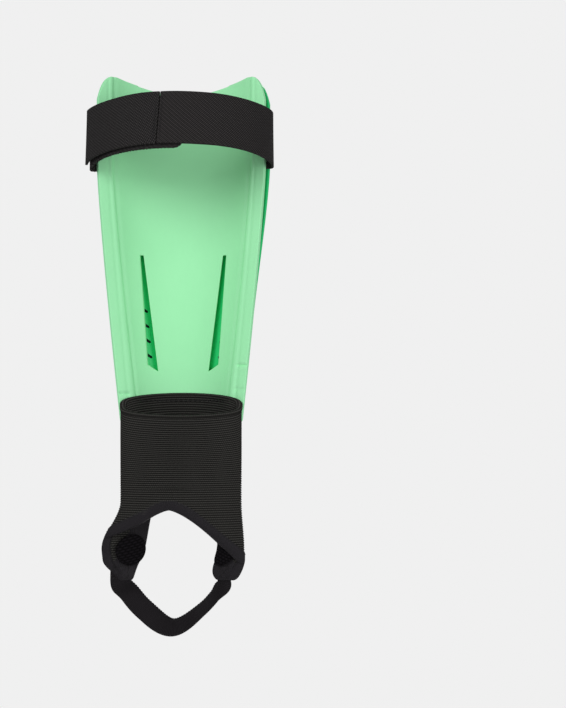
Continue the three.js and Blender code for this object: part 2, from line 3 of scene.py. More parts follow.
import bmesh
import bpy
import numpy as np
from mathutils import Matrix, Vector


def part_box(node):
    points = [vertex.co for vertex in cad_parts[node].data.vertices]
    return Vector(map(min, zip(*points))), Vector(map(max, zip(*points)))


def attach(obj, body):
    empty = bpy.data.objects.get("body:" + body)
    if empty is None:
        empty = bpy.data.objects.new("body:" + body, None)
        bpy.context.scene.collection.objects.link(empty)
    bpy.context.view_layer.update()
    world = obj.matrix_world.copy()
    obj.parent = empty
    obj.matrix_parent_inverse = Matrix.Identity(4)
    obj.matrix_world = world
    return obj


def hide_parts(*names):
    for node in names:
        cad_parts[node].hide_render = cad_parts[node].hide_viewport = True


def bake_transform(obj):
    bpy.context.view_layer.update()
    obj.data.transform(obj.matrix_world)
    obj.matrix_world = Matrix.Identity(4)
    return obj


# Left shin guard, metres. +Z runs up the shin, +Y is the front of the leg, the leg lies on the -Y side.
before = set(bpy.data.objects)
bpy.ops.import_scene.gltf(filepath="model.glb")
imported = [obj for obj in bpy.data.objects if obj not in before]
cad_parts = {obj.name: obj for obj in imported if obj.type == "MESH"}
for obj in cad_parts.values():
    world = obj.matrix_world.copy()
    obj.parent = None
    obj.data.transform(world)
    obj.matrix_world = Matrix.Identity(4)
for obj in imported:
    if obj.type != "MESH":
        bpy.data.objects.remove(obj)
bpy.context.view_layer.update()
print("frame loaded")

mm = 0.001
touchGap = 0.3 * mm


def mix(a, b, share):
    return a + (b - a) * share


def ease(value, low, high):
    # smooth step: 0 before low, 1 after high
    t = np.clip((value - low) / (high - low), 0, 1)
    return t * t * (3 - 2 * t)


def stack(x, y, z):
    # points of three coordinate arrays of any matching shapes
    return np.stack(np.broadcast_arrays(x, y, z), axis=-1).astype(float)


def unit(vectors):
    return vectors / np.maximum(np.linalg.norm(vectors, axis=-1, keepdims=True), 1e-12)


def runLength(points):
    # distance walked along a line of points
    return np.concatenate([[0], np.cumsum(np.linalg.norm(np.diff(points, axis=0), axis=1))])


def putMesh(name, points, quads, cloth=None, clothQuads=None):
    # a smooth object from points and quads, turned so that its faces point out
    corner = points[quads]
    normal = np.cross(corner[:, 1] - corner[:, 0], corner[:, 2] - corner[:, 0])
    normal += np.cross(corner[:, 2] - corner[:, 0], corner[:, 3] - corner[:, 0])
    if (normal * corner.mean(axis=1)).sum() < 0:
        quads = quads[:, ::-1]
        clothQuads = clothQuads[:, ::-1] if clothQuads is not None else None
    used, place = np.unique(quads, return_inverse=True)
    mesh = bpy.data.meshes.new(name)
    mesh.from_pydata(points[used].tolist(), [], place.reshape(quads.shape).tolist())
    if cloth is not None:
        layer = mesh.uv_layers.new(name="cloth")
        layer.data.foreach_set("uv", cloth[clothQuads].astype(np.float32).ravel())
    mesh.polygons.foreach_set("use_smooth", np.ones(len(quads), bool))
    mesh.update()
    made = bpy.data.objects.new(name, mesh)
    bpy.context.scene.collection.objects.link(made)
    return made


def cellCorners(grid):
    # the four corners of every cell of a grid of numbers, one array each
    return [grid[:-1, :-1], grid[:-1, 1:], grid[1:, 1:], grid[1:, :-1]]


def plate(name, inner, outer, cloth, wrap=False, keep=None):
    # Two grids of points, one for each face, closed by walls along every open border of the kept cells.
    # cloth gives each grid point its place on the flat piece, with one more column where the grid wraps.
    rows, cols = inner.shape[:2]
    index = np.arange(rows * cols).reshape(rows, cols)
    index = np.hstack([index, index[:, :1]]) if wrap else index
    flat = np.arange(cloth.shape[0] * cloth.shape[1]).reshape(cloth.shape[:2])
    keep = np.ones((rows - 1, index.shape[1] - 1), bool) if keep is None else keep
    around = np.pad(keep, 1)
    if wrap:
        around[1:-1, 0], around[1:-1, -1] = keep[:, -1], keep[:, 0]

    corner, place = cellCorners(index), cellCorners(flat)
    count = rows * cols
    quads = [np.stack([c[keep] + count for c in corner], 1),
             np.stack([c[keep] for c in corner[::-1]], 1)]
    spots = [np.stack([c[keep] for c in place], 1),
             np.stack([c[keep] for c in place[::-1]], 1)]
    beside = [around[:-2, 1:-1], around[1:-1, 2:], around[2:, 1:-1], around[1:-1, :-2]]
    for k in range(4):
        edge = keep & ~beside[k]
        a, b = corner[k][edge], corner[(k + 1) % 4][edge]
        p, q = place[k][edge], place[(k + 1) % 4][edge]
        quads.append(np.stack([b + count, a + count, a, b], 1))
        spots.append(np.stack([q, p, p, q], 1))
    points = np.concatenate([inner.reshape(-1, 3), outer.reshape(-1, 3)])
    return putMesh(name, points, np.concatenate(quads), cloth.reshape(-1, 2), np.concatenate(spots))


def loopTube(name, points, cloth):
    # a grid that closes both ways: rows run round the section, columns round the loop
    rows, cols = points.shape[:2]
    index = np.arange(rows * cols).reshape(rows, cols)
    index = np.pad(index, ((0, 1), (0, 1)), mode="wrap")
    flat = np.arange((rows + 1) * (cols + 1)).reshape(rows + 1, cols + 1)
    quads, spots = (np.stack(cellCorners(grid), -1).reshape(-1, 4) for grid in (index, flat))
    return putMesh(name, points.reshape(-1, 3), quads, cloth.reshape(-1, 2), spots)


def softEdges(piece, width, segments=3, angle=35):
    bevel = piece.modifiers.new("edges", "BEVEL")
    bevel.width = width
    bevel.segments = segments
    bevel.limit_method = "ANGLE"
    bevel.angle_limit = math.radians(angle)
    return piece


def applyModifiers(piece):
    # the finished mesh takes the place of the live one
    bpy.context.view_layer.update()
    done = bpy.data.meshes.new_from_object(piece.evaluated_get(bpy.context.evaluated_depsgraph_get()))
    piece.modifiers.clear()
    piece.data = done
    return piece


# Node groups and materials

def newGroup(name, inputs, outputs):
    group = bpy.data.node_groups.new(name, "ShaderNodeTree")
    for label, kind, value in inputs:
        socket = group.interface.new_socket(name=label, in_out="INPUT", socket_type=kind)
        if value is not None:
            socket.default_value = value
    for label, kind in outputs:
        group.interface.new_socket(name=label, in_out="OUTPUT", socket_type=kind)
    return group, group.nodes.new("NodeGroupInput"), group.nodes.new("NodeGroupOutput")


def calc(tree, operation, *values):
    # a Math node on sockets or numbers, giving its output
    node = tree.nodes.new("ShaderNodeMath")
    node.operation = operation
    for socket, value in zip(node.inputs, values):
        if isinstance(value, (int, float)):
            socket.default_value = value
        else:
            tree.links.new(value, socket)
    return node.outputs[0]


def noise(tree, vector, scale, detail=2.0, roughness=0.5):
    node = tree.nodes.new("ShaderNodeTexNoise")
    node.inputs["Detail"].default_value = detail
    node.inputs["Roughness"].default_value = roughness
    tree.links.new(vector, node.inputs["Vector"])
    if isinstance(scale, (int, float)):
        node.inputs["Scale"].default_value = scale
    else:
        tree.links.new(scale, node.inputs["Scale"])
    return node.outputs["Fac"]


def weaveGroup():
    # Yarns on the cloth's own flat map, in metres. Two sets of lines cross: across and along, both slanted
    # by a share of the other axis. The floats of one set hide where the other set passes over.
    group, given, result = newGroup(
        "yarnWeave",
        [("Across pitch", "NodeSocketFloat", 0.001), ("Along pitch", "NodeSocketFloat", 0.001),
         ("Slant", "NodeSocketFloat", 0.0), ("Irregular", "NodeSocketFloat", 0.3),
         ("Roundness", "NodeSocketFloat", 0.6), ("Beads", "NodeSocketFloat", 0.6)],
        [("Height", "NodeSocketFloat"), ("Shade", "NodeSocketFloat")])
    coords = group.nodes.new("ShaderNodeTexCoord")
    split = group.nodes.new("ShaderNodeSeparateXYZ")
    group.links.new(coords.outputs["UV"], split.inputs[0])
    wander = noise(group, coords.outputs["UV"], 260.0, 2.0)
    bent = calc(group, "MULTIPLY", calc(group, "SUBTRACT", wander, 0.5), given.outputs["Irregular"])
    u = calc(group, "DIVIDE", split.outputs["X"], given.outputs["Across pitch"])
    v = calc(group, "DIVIDE", split.outputs["Y"], given.outputs["Along pitch"])
    leaned = calc(group, "ADD", v, calc(group, "MULTIPLY", u, given.outputs["Slant"]))
    slanted = calc(group, "ADD", leaned, bent)
    line = calc(group, "ABSOLUTE", calc(group, "SINE", calc(group, "MULTIPLY", slanted, math.pi)))
    crossed = calc(group, "ADD", u, calc(group, "MULTIPLY", calc(group, "FLOOR", slanted), 0.5))
    bead = calc(group, "ABSOLUTE", calc(group, "SINE", calc(group, "MULTIPLY", crossed, math.pi)))
    beads = given.outputs["Beads"]
    beaded = calc(group, "ADD", calc(group, "MULTIPLY", bead, beads), calc(group, "SUBTRACT", 1.0, beads))
    high = calc(group, "MULTIPLY", calc(group, "POWER", line, given.outputs["Roundness"]), beaded)
    fibre = noise(group, coords.outputs["UV"], 5200.0, 3.0)
    height = calc(group, "ADD", high, calc(group, "MULTIPLY", calc(group, "SUBTRACT", fibre, 0.5), 0.5))
    group.links.new(height, result.inputs["Height"])
    # Shade follows the height: painted shade in the grooves between yarns, painted light on the yarn tops
    group.links.new(calc(group, "MULTIPLY_ADD", height, 0.9, 0.1), result.inputs["Shade"])
    return group


def mottleGroup():
    # broad and fine unevenness of a moulded or worn surface: noise at two sizes on object coordinates
    group, given, result = newGroup(
        "mottle",
        [("Broad scale", "NodeSocketFloat", 30.0), ("Grain scale", "NodeSocketFloat", 1500.0)],
        [("Shade", "NodeSocketFloat"), ("Grain", "NodeSocketFloat")])
    coords = group.nodes.new("ShaderNodeTexCoord")
    broad = noise(group, coords.outputs["Object"], given.outputs["Broad scale"], 3.0)
    grain = noise(group, coords.outputs["Object"], given.outputs["Grain scale"], 3.0, 0.6)
    group.links.new(broad, result.inputs["Shade"])
    group.links.new(grain, result.inputs["Grain"])
    return group


yarnWeave = weaveGroup()
mottle = mottleGroup()


def newMaterial(name):
    material = bpy.data.materials.new(name)
    material.use_nodes = True
    tree = material.node_tree
    return material, tree, tree.nodes["Principled BSDF"]


def useGroup(tree, group, **values):
    node = tree.nodes.new("ShaderNodeGroup")
    node.node_tree = group
    for label, value in values.items():
        node.inputs[label.replace("_", " ")].default_value = value
    return node


def colourMix(tree, share, dark, light):
    node = tree.nodes.new("ShaderNodeMix")
    node.data_type = "RGBA"
    tree.links.new(share, node.inputs["Factor"])
    for socket, value in ((node.inputs[6], dark), (node.inputs[7], light)):
        if isinstance(value, tuple):
            socket.default_value = (*value, 1)
        else:
            tree.links.new(value, socket)
    return node.outputs[2]


def bumpFrom(tree, shader, height, distance, strength=1.0):
    bump = tree.nodes.new("ShaderNodeBump")
    bump.inputs["Distance"].default_value = distance
    bump.inputs["Strength"].default_value = strength
    tree.links.new(height, bump.inputs["Height"])
    tree.links.new(bump.outputs["Normal"], shader.inputs["Normal"])


def clothMaterial(name, look):
    # woven or knitted cloth: yarn lines in height, colour with painted shade in the grooves between yarns and
    # painted light on the yarn tops, lint in roughness, a soft sheen
    material, tree, shader = newMaterial(name)
    weave = useGroup(tree, yarnWeave, Across_pitch=look["across"], Along_pitch=look["along"],
                     Slant=look["slant"], Irregular=look["irregular"], Roundness=look["roundness"],
                     Beads=look["beads"])
    lint = useGroup(tree, mottle, Broad_scale=look["lint"], Grain_scale=look["grain"])
    # painted shade and painted light: the dark colour goes in the yarn grooves, the light colour on the yarn
    # tops
    body = colourMix(tree, weave.outputs["Shade"], look["dark"], look["light"])
    worn = tree.nodes.new("ShaderNodeMapRange")
    worn.inputs["From Min"].default_value = 0.35
    worn.inputs["From Max"].default_value = 0.75
    worn.inputs["To Max"].default_value = look["wear"]
    tree.links.new(lint.outputs["Shade"], worn.inputs["Value"])
    tree.links.new(colourMix(tree, worn.outputs["Result"], body, look["worn"]), shader.inputs["Base Color"])
    rough = calc(tree, "MULTIPLY_ADD", lint.outputs["Grain"], 0.2, look["roughness"] - 0.1)
    tree.links.new(rough, shader.inputs["Roughness"])
    shader.inputs["Specular IOR Level"].default_value = look["gloss"]
    shader.inputs["Sheen Weight"].default_value = look["sheen"]
    shader.inputs["Sheen Roughness"].default_value = 0.5
    fuzz = calc(tree, "MULTIPLY", lint.outputs["Grain"], look["fuzz"])
    height = calc(tree, "ADD", weave.outputs["Height"], fuzz)
    bumpFrom(tree, shader, height, look["relief"])
    return material


def mouldedMaterial(name, look):
    # moulded foam or plastic: colour that drifts a little, fine grain, paler or darker where it is rubbed
    material, tree, shader = newMaterial(name)
    spots = useGroup(tree, mottle, Broad_scale=look["broad"], Grain_scale=look["grain"])
    body = colourMix(tree, spots.outputs["Shade"], look["dark"], look["light"])
    tree.links.new(body, shader.inputs["Base Color"])
    rough = calc(tree, "MULTIPLY_ADD", spots.outputs["Shade"], 0.15, look["roughness"] - 0.07)
    tree.links.new(rough, shader.inputs["Roughness"])
    shader.inputs["Specular IOR Level"].default_value = look["gloss"]
    bumpFrom(tree, shader, spots.outputs["Grain"], look["relief"])
    return material


foamMaterial = mouldedMaterial("foamGreen", {
    "dark": (0.34, 0.82, 0.44), "light": (0.395, 0.89, 0.495), "broad": 18.0, "grain": 1700.0,
    "roughness": 0.85, "gloss": 0.12, "relief": 0.06 * mm})
shellMaterial = mouldedMaterial("shellGreen", {
    "dark": (0.008, 0.56, 0.16), "light": (0.014, 0.66, 0.19), "broad": 25.0, "grain": 2600.0,
    "roughness": 0.42, "gloss": 0.4, "relief": 0.03 * mm})
# painted shade: near-black colour for the sheets that close the vents, in place of the shadow seen through
# them
ventShadeMaterial = mouldedMaterial("ventPaintedShade", {
    "dark": (0.0, 0.010, 0.006), "light": (0.001, 0.020, 0.012), "broad": 60.0, "grain": 2600.0,
    "roughness": 0.7, "gloss": 0.2, "relief": 0.03 * mm})
# cloth colours: dark is painted shade in the yarn grooves, light is painted light on the yarn tops, worn is a
# lint tint
twillMaterial = clothMaterial("twillElastic", {
    "across": 1.5 * mm, "along": 1.5 * mm, "slant": 1.0, "irregular": 0.4, "roundness": 2.0, "beads": 0.8,
    "lint": 70.0, "grain": 1800.0, "dark": (0.0001, 0.0001, 0.0001), "light": (0.062, 0.057, 0.057),
    "worn": (0.026, 0.024, 0.024), "wear": 0.15, "roughness": 0.8, "gloss": 0.06, "sheen": 0.01,
    "fuzz": 0.2, "relief": 0.35 * mm})
loopMaterial = clothMaterial("brushedLoop", {
    "across": 1.5 * mm, "along": 1.4 * mm, "slant": 0.5, "irregular": 0.9, "roundness": 2.0, "beads": 0.9,
    "lint": 160.0, "grain": 2400.0, "dark": (0.0001, 0.0001, 0.0001), "light": (0.066, 0.062, 0.062),
    "worn": (0.030, 0.029, 0.029), "wear": 0.2, "roughness": 0.92, "gloss": 0.03, "sheen": 0.02,
    "fuzz": 0.5, "relief": 0.45 * mm})
knitMaterial = clothMaterial("ribKnit", {
    "across": 1.4 * mm, "along": 1.6 * mm, "slant": 0.0, "irregular": 0.0, "roundness": 2.0, "beads": 0.6,
    "lint": 45.0, "grain": 2200.0, "dark": (0.0001, 0.0001, 0.0001), "light": (0.060, 0.058, 0.054),
    "worn": (0.034, 0.033, 0.031), "wear": 0.15, "roughness": 0.95, "gloss": 0.02, "sheen": 0.02,
    "fuzz": 0.4, "relief": 0.35 * mm})
bindingMaterial = clothMaterial("foldedBinding", {
    "across": 0.7 * mm, "along": 0.9 * mm, "slant": 0.0, "irregular": 0.2, "roundness": 0.6, "beads": 0.3,
    "lint": 60.0, "grain": 2000.0, "dark": (0.0015, 0.0012, 0.0016), "light": (0.0125, 0.0105, 0.0135),
    "worn": (0.018, 0.0155, 0.019), "wear": 0.25, "roughness": 0.5, "gloss": 0.16, "sheen": 0.02,
    "fuzz": 0.2, "relief": 0.12 * mm})
stirrupMaterial = clothMaterial("stirrupElastic", {
    "across": 1.1 * mm, "along": 0.9 * mm, "slant": 0.0, "irregular": 0.3, "roundness": 0.9, "beads": 0.5,
    "lint": 60.0, "grain": 2000.0, "dark": (0.001, 0.0009, 0.001), "light": (0.0175, 0.015, 0.0175),
    "worn": (0.017, 0.015, 0.017), "wear": 0.2, "roughness": 0.75, "gloss": 0.08, "sheen": 0.01,
    "fuzz": 0.2, "relief": 0.18 * mm})
meshMaterial = clothMaterial("padMesh", {
    "across": 1.8 * mm, "along": 1.8 * mm, "slant": 0.5, "irregular": 0.4, "roundness": 1.0, "beads": 0.9,
    "lint": 90.0, "grain": 1800.0, "dark": (0.0002, 0.0002, 0.0002), "light": (0.0085, 0.007, 0.009),
    "worn": (0.006, 0.005, 0.006), "wear": 0.1, "roughness": 0.9, "gloss": 0.06, "sheen": 0.0,
    "fuzz": 0.2, "relief": 0.45 * mm})
threadMaterial = clothMaterial("thread", {
    "across": 0.2 * mm, "along": 0.4 * mm, "slant": 0.6, "irregular": 0.1, "roundness": 0.6, "beads": 0.2,
    "lint": 90.0, "grain": 3000.0, "dark": (0.004, 0.0037, 0.004), "light": (0.020, 0.0185, 0.020),
    "worn": (0.022, 0.020, 0.022), "wear": 0.2, "roughness": 0.6, "gloss": 0.2, "sheen": 0.0,
    "fuzz": 0.1, "relief": 0.05 * mm})
hookMaterial = clothMaterial("hookTape", {
    "across": 1.0 * mm, "along": 0.5 * mm, "slant": 0.0, "irregular": 0.1, "roundness": 0.6, "beads": 0.6,
    "lint": 90.0, "grain": 2600.0, "dark": (0.002, 0.002, 0.002), "light": (0.010, 0.010, 0.010),
    "worn": (0.014, 0.014, 0.014), "wear": 0.2, "roughness": 0.45, "gloss": 0.3, "sheen": 0.0,
    "fuzz": 0.1, "relief": 0.1 * mm})
print("materials made")


def dress(piece, material, slotName, *nodes):
    piece.data.materials.clear()
    piece.data.materials.append(material)
    if nodes:
        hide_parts(*nodes)
    return piece


def stitches(name, start, end, out, radius):
    # Short threads: each runs from start to end, rises to its middle by a sine and is thinner at both ends.
    rings, sides = 5, 6
    along = np.linspace(0, 1, rings)[None, :, None, None]
    turn = np.linspace(0, 2 * np.pi, sides, endpoint=False)[None, None, :, None]
    start, end, out = (v[:, None, None, :] for v in (start, end, unit(out)))
    side = unit(np.cross(end - start, out))
    thick = radius * (0.55 + 0.45 * np.sin(np.pi * along))
    middle = mix(start, end, along) + out * radius * (1.3 * np.sin(np.pi * along) - 0.5)
    points = middle + thick * (side * np.cos(turn) + out * np.sin(turn))
    count = len(points)
    base = (np.arange(count) * rings * sides)[:, None, None]
    ring = (np.arange(rings - 1) * sides)[None, :, None]
    k = np.arange(sides)[None, None, :]
    a, b = base + ring + k, base + ring + (k + 1) % sides
    quads = np.stack([a, b, b + sides, a + sides], -1).reshape(-1, 4)
    first = base[:, 0]
    last = first + (rings - 1) * sides
    caps = [first + [3, 2, 1, 0], first + [5, 4, 3, 0], last + [0, 1, 2, 3], last + [0, 3, 4, 5]]
    uv = stack(np.zeros((count, rings, sides)), along[..., 0] * 2 * mm, 0.0)[..., :2].reshape(-1, 2)
    allQuads = np.concatenate([quads, *caps])
    return putMesh(name, points.reshape(-1, 3), allQuads, uv, allQuads)


# The guard's section: a round panel, a bevel that bends back and a flat flange.

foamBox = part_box("foam_backing")
guard = {
    "top": foamBox[1].z, "bottom": foamBox[0].z, "widest": 63 * mm, "notchDepth": 11.5 * mm,
    "earPlace": 0.75, "earPower": 4, "earDrop": 17 * mm, "cornerStart": 0.75, "bottomLift": 9 * mm,
    "panelTop": 47.6 * mm, "panelBottom": 29 * mm, "bevelTop": 4.8 * mm, "bevelBottom": 7.5 * mm,
    "flangeTop": 8 * mm, "flangeBottom": 7.2 * mm, "panelAngle": math.radians(54),
    "flangeAngle": math.radians(30), "widthPower": 1.2, "foam": 5 * mm, "flangeFoam": 3 * mm,
}


def sectionAt(z):
    # Sizes of the section at each height: they widen by a power curve up to the widest level. The bend of
    # the bevel is its width over the change of slope, and depths and half widths add up along the section.
    t = np.clip((z - guard["bottom"]) / (guard["widest"] - guard["bottom"]), 0, 1)
    share = 1 - (1 - t) ** guard["widthPower"]
    panelHalf = mix(guard["panelBottom"], guard["panelTop"], share)
    bevel = mix(guard["bevelBottom"], guard["bevelTop"], share)
    flange = mix(guard["flangeBottom"], guard["flangeTop"], share)
    steep, shallow = guard["panelAngle"], guard["flangeAngle"]
    radius = panelHalf / math.sin(steep)
    bend = bevel / (steep - shallow)
    panelDepth = radius * (1 - math.cos(steep))
    bevelX = panelHalf + bend * (math.sin(steep) - math.sin(shallow))
    bevelDepth = panelDepth + bend * (math.cos(shallow) - math.cos(steep))
    depth = bevelDepth + flange * math.sin(shallow)
    return {"panelHalf": panelHalf, "bevel": bevel, "flange": flange, "radius": radius, "bend": bend,
            "panelArc": radius * steep, "panelDepth": panelDepth, "bevelX": bevelX,
            "bevelDepth": bevelDepth, "depth": depth, "edgeArc": radius * steep + bevel + flange}


edgeY = -float(sectionAt(np.array(0.0))["depth"])


def guardPoint(z, arc, offset):
    # A point at a distance along the inner face and an offset to the front: a circle on the panel, the
    # reverse bend on the bevel, then a straight line, each continuing the one before.
    s = sectionAt(z)
    steep, shallow = guard["panelAngle"], guard["flangeAngle"]
    side, far = np.where(arc < 0, -1.0, 1.0), np.abs(arc)
    onBevel = np.clip(far - s["panelArc"], 0, s["bevel"])
    onFlange = np.maximum(far - s["panelArc"] - s["bevel"], 0)
    onPanel = far <= s["panelArc"]
    slope = np.where(onPanel, far / s["radius"], steep - onBevel / s["bend"])
    bevelX = s["panelHalf"] + s["bend"] * (math.sin(steep) - np.sin(slope))
    bevelDepth = s["panelDepth"] + s["bend"] * (np.cos(slope) - math.cos(steep))
    x = np.where(onPanel, s["radius"] * np.sin(slope), bevelX) + onFlange * math.cos(shallow)
    depth = np.where(onPanel, s["radius"] * (1 - np.cos(slope)), bevelDepth) + onFlange * math.sin(shallow)
    y = edgeY + s["depth"] - depth + offset * np.cos(slope)
    return stack(side * (x + offset * np.sin(slope)), y, z)


def innerFaceY(x, z):
    # the same inner face as a height over x
    s = sectionAt(z)
    steep = guard["panelAngle"]
    far = np.abs(x)
    rounded = s["radius"] - np.sqrt(np.maximum(s["radius"] ** 2 - np.minimum(far, s["panelHalf"]) ** 2, 0))
    sine = np.clip(math.sin(steep) - (far - s["panelHalf"]) / s["bend"], 0, 1)
    bent = s["panelDepth"] + s["bend"] * (np.sqrt(1 - sine ** 2) - math.cos(steep))
    straight = s["bevelDepth"] + (far - s["bevelX"]) * math.tan(guard["flangeAngle"])
    depth = np.where(far <= s["panelHalf"], rounded, np.where(far <= s["bevelX"], bent, straight))
    return edgeY + s["depth"] - depth


def topEdge(share):
    # straight from the notch up to the ears, then a power curve down to the outer corners
    far = np.abs(share)
    inside = guard["top"] - guard["notchDepth"] * (1 - far / guard["earPlace"])
    past = np.clip((far - guard["earPlace"]) / (1 - guard["earPlace"]), 0, None)
    outside = guard["top"] - guard["earDrop"] * past ** guard["earPower"]
    return np.where(far < guard["earPlace"], inside, outside)


def bottomEdge(share):
    corner = np.clip((np.abs(share) - guard["cornerStart"]) / (1 - guard["cornerStart"]), 0, None)
    return guard["bottom"] + guard["bottomLift"] * corner ** 2.2


foam = {
    "slotTopZ": 1 * mm, "slotBottomZ": -82 * mm, "slotTopX": 29.6 * mm, "slotBottomX": 21.4 * mm,
    "slotTopWidth": 2.4 * mm, "slotBottomWidth": 6.8 * mm, "slotSlant": 5 * mm,
    "cells": (20, 3, 8, 6, 7), "rowCells": (26, 56, 64), "edge": 0.9 * mm, "crease": 1.0 * mm,
    "cutLines": ((-1, -97.5 * mm), (1, -94.5 * mm), (1, -77.5 * mm)), "cutDepth": 1.3 * mm,
}


def foamBacking():
    # Columns follow the slot's two edges, the panel, the bevel and the flange, rows follow the slot's ends,
    # so the slots are cells left out. The thickness thins over the bevel.
    c = np.cumsum((0,) + foam["cells"])
    column = np.arange(c[-1] + 1)
    rowStops = np.cumsum((0,) + foam["rowCells"])
    row = np.arange(rowStops[-1] + 1)[:, None]

    def slotEdge(z, side):
        down = (foam["slotTopZ"] - z) / (foam["slotTopZ"] - foam["slotBottomZ"])
        down = np.clip(down, -0.35, 1.25)
        width = np.clip(mix(foam["slotTopWidth"], foam["slotBottomWidth"], down), 1.2 * mm, None)
        return mix(foam["slotTopX"], foam["slotBottomX"], down) + side * width / 2

    def arcs(z, offset):
        s = sectionAt(z)
        stops = [0 * z] + [s["radius"] * np.arcsin(slotEdge(z, k) / (s["radius"] + offset)) for k in (-1, 1)]
        stops += [s["panelArc"], s["panelArc"] + s["bevel"], s["edgeArc"]]
        grid = np.zeros(np.broadcast_shapes(z.shape, column.shape))
        for k in range(5):
            part = np.clip((column - c[k]) / (c[k + 1] - c[k]), 0, 1)
            grid = grid + (stops[k + 1] - stops[k]) * part
        return grid

    share = arcs(np.zeros((1, 1)), 0)[0] / sectionAt(np.array(0.0))["edgeArc"]
    slant = foam["slotSlant"] * np.interp(column, [c[1], c[2], c[4]], [0, 1, 0])
    low, high = bottomEdge(share), topEdge(share)
    levels = [low, foam["slotBottomZ"] + slant, foam["slotTopZ"] + 0 * share, high]
    z = np.zeros((len(row), len(column))) + levels[0]
    for k in range(3):
        part = np.clip((row - rowStops[k]) / (rowStops[k + 1] - rowStops[k]), 0, 1)
        z = z + (levels[k + 1] - levels[k]) * part
    keepHalf = np.ones((len(row) - 1, c[-1]), bool)
    keepHalf[rowStops[1]:rowStops[2], c[1]:c[2]] = False
    faces = []
    for face in (0, 1):
        arc = arcs(z, face * guard["foam"])
        s = sectionAt(z)
        onBevel = np.clip((arc - s["panelArc"]) / s["bevel"], 0, 1)
        thick = mix(guard["foam"], guard["flangeFoam"], onBevel)
        sides = []
        for side in (-1, 1):
            dent = foamDents(arc, z, s, side) if face == 0 else 0.0
            sides.append(guardPoint(z, side * arc, face * thick + dent))
        faces.append(np.concatenate([sides[0][:, :0:-1], sides[1]], axis=1))
    arcBoth = np.concatenate([-arcs(z, 0)[:, :0:-1], arcs(z, 0)], axis=1)
    zBoth = np.concatenate([z[:, :0:-1], z], axis=1)
    keep = np.concatenate([keepHalf[:, ::-1], keepHalf], axis=1)
    made = plate("foamBacking", faces[0], faces[1], stack(arcBoth, zBoth, 0)[..., :2], keep=keep)
    softEdges(made, foam["edge"], 3, 50)
    dress(made, foamMaterial, "foam", "foam_backing")
    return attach(made, "guard")


def foamDents(arc, z, s, side):
    # Pressed lines: a crease where the panel meets the bevel, a softer one at the flange, cuts across it.
    crease = foam["crease"] * np.exp(-((arc - s["panelArc"]) / (1.0 * mm)) ** 2)
    crease = crease + 0.5 * foam["crease"] * np.exp(-((arc - s["panelArc"] - s["bevel"]) / (0.9 * mm)) ** 2)
    onFlange = ease(arc, s["panelArc"] + 0.6 * s["bevel"], s["panelArc"] + s["bevel"])
    cut = 0 * arc
    for where, level in foam["cutLines"]:
        if where == side:
            cut = cut + foam["cutDepth"] * np.exp(-((z - level) / (0.75 * mm)) ** 2) * onFlange
            below = ease(-z, -level, -level + 6 * mm) * (z > level - 30 * mm)
            cut = cut + 0.5 * foam["cutDepth"] * below * onFlange
    return crease + np.minimum(cut, foam["cutDepth"])


shell = {
    "thickness": 2.2 * mm, "inset": 3 * mm, "lip": 3.2 * mm, "lipStart": -50 * mm,
    "ridgeHeight": 1.4 * mm, "ridgeHalf": 17 * mm, "columns": 121, "rows": 150, "edge": 0.8 * mm,
    "vents": 4, "ventShiftRight": 2.2 * mm, "ventPitch": 10.9 * mm, "ventLowest": -72.5 * mm,
    "ventLength": 10 * mm, "ventWidth": 1.8 * mm, "ventAngle": math.radians(35), "shadeSheetThickness": 0.5 * mm,
}
shellOffset = guard["foam"] + touchGap


def shellEdgeArc(z, side):
    # inside the foam's edge, except for the lip that grows up the right side
    inner = sectionAt(z)["edgeArc"] - shell["inset"]
    lip = shell["inset"] + shell["lip"] - shellOffset * math.sin(guard["flangeAngle"])
    return inner + np.where(side < 0, 0, ease(z, shell["lipStart"], guard["widest"]) * lip)


def ventOutline(side, x, z):
    # a slanted slit with pointed ends that rises outwards, as corners in the XZ plane
    corners = np.array([[0, 0], [0.1, -0.5], [0.9, -0.5], [1, 0], [0.9, 0.5], [0.1, 0.5]])
    corners = corners * [shell["ventLength"], shell["ventWidth"]]
    cosine, sine = math.cos(shell["ventAngle"]), math.sin(shell["ventAngle"])
    dx = corners[:, 0] * cosine - corners[:, 1] * sine
    dz = corners[:, 0] * sine + corners[:, 1] * cosine
    return side * (x + dx), z + dz


def ventCutter():
    # prisms through the shell, all in one mesh: each outline repeated at the front and at the back
    outlines = []
    for side in (-1, 1):
        for n in range(shell["vents"]):
            z = shell["ventLowest"] + n * shell["ventPitch"]
            share = (z - foam["slotBottomZ"]) / (foam["slotTopZ"] - foam["slotBottomZ"])
            middle = mix(foam["slotBottomX"], foam["slotTopX"], share)
            x, zs = ventOutline(side, middle + (shell["ventShiftRight"] if side > 0 else 0), z)
            outlines.append(stack(x, 0.0, zs))
    rims = [np.array(outlines) + [0, y, 0] for y in (-40 * mm, 40 * mm)]
    points = np.concatenate(rims, axis=1)
    k = np.arange(6)
    walls = np.stack([k, (k + 1) % 6, (k + 1) % 6 + 6, k + 6], 1)
    caps = np.array([[3, 2, 1, 0], [0, 5, 4, 3], [6, 7, 8, 9], [9, 10, 11, 6]])
    one = np.concatenate([walls, caps])
    quads = (one[None] + (np.arange(len(points)) * 12)[:, None, None]).reshape(-1, 4)
    cutter = putMesh("ventCutter", points.reshape(-1, 3), quads)
    work = bmesh.new()
    work.from_mesh(cutter.data)
    bmesh.ops.recalc_face_normals(work, faces=work.faces)
    work.to_mesh(cutter.data)
    work.free()
    return cutter


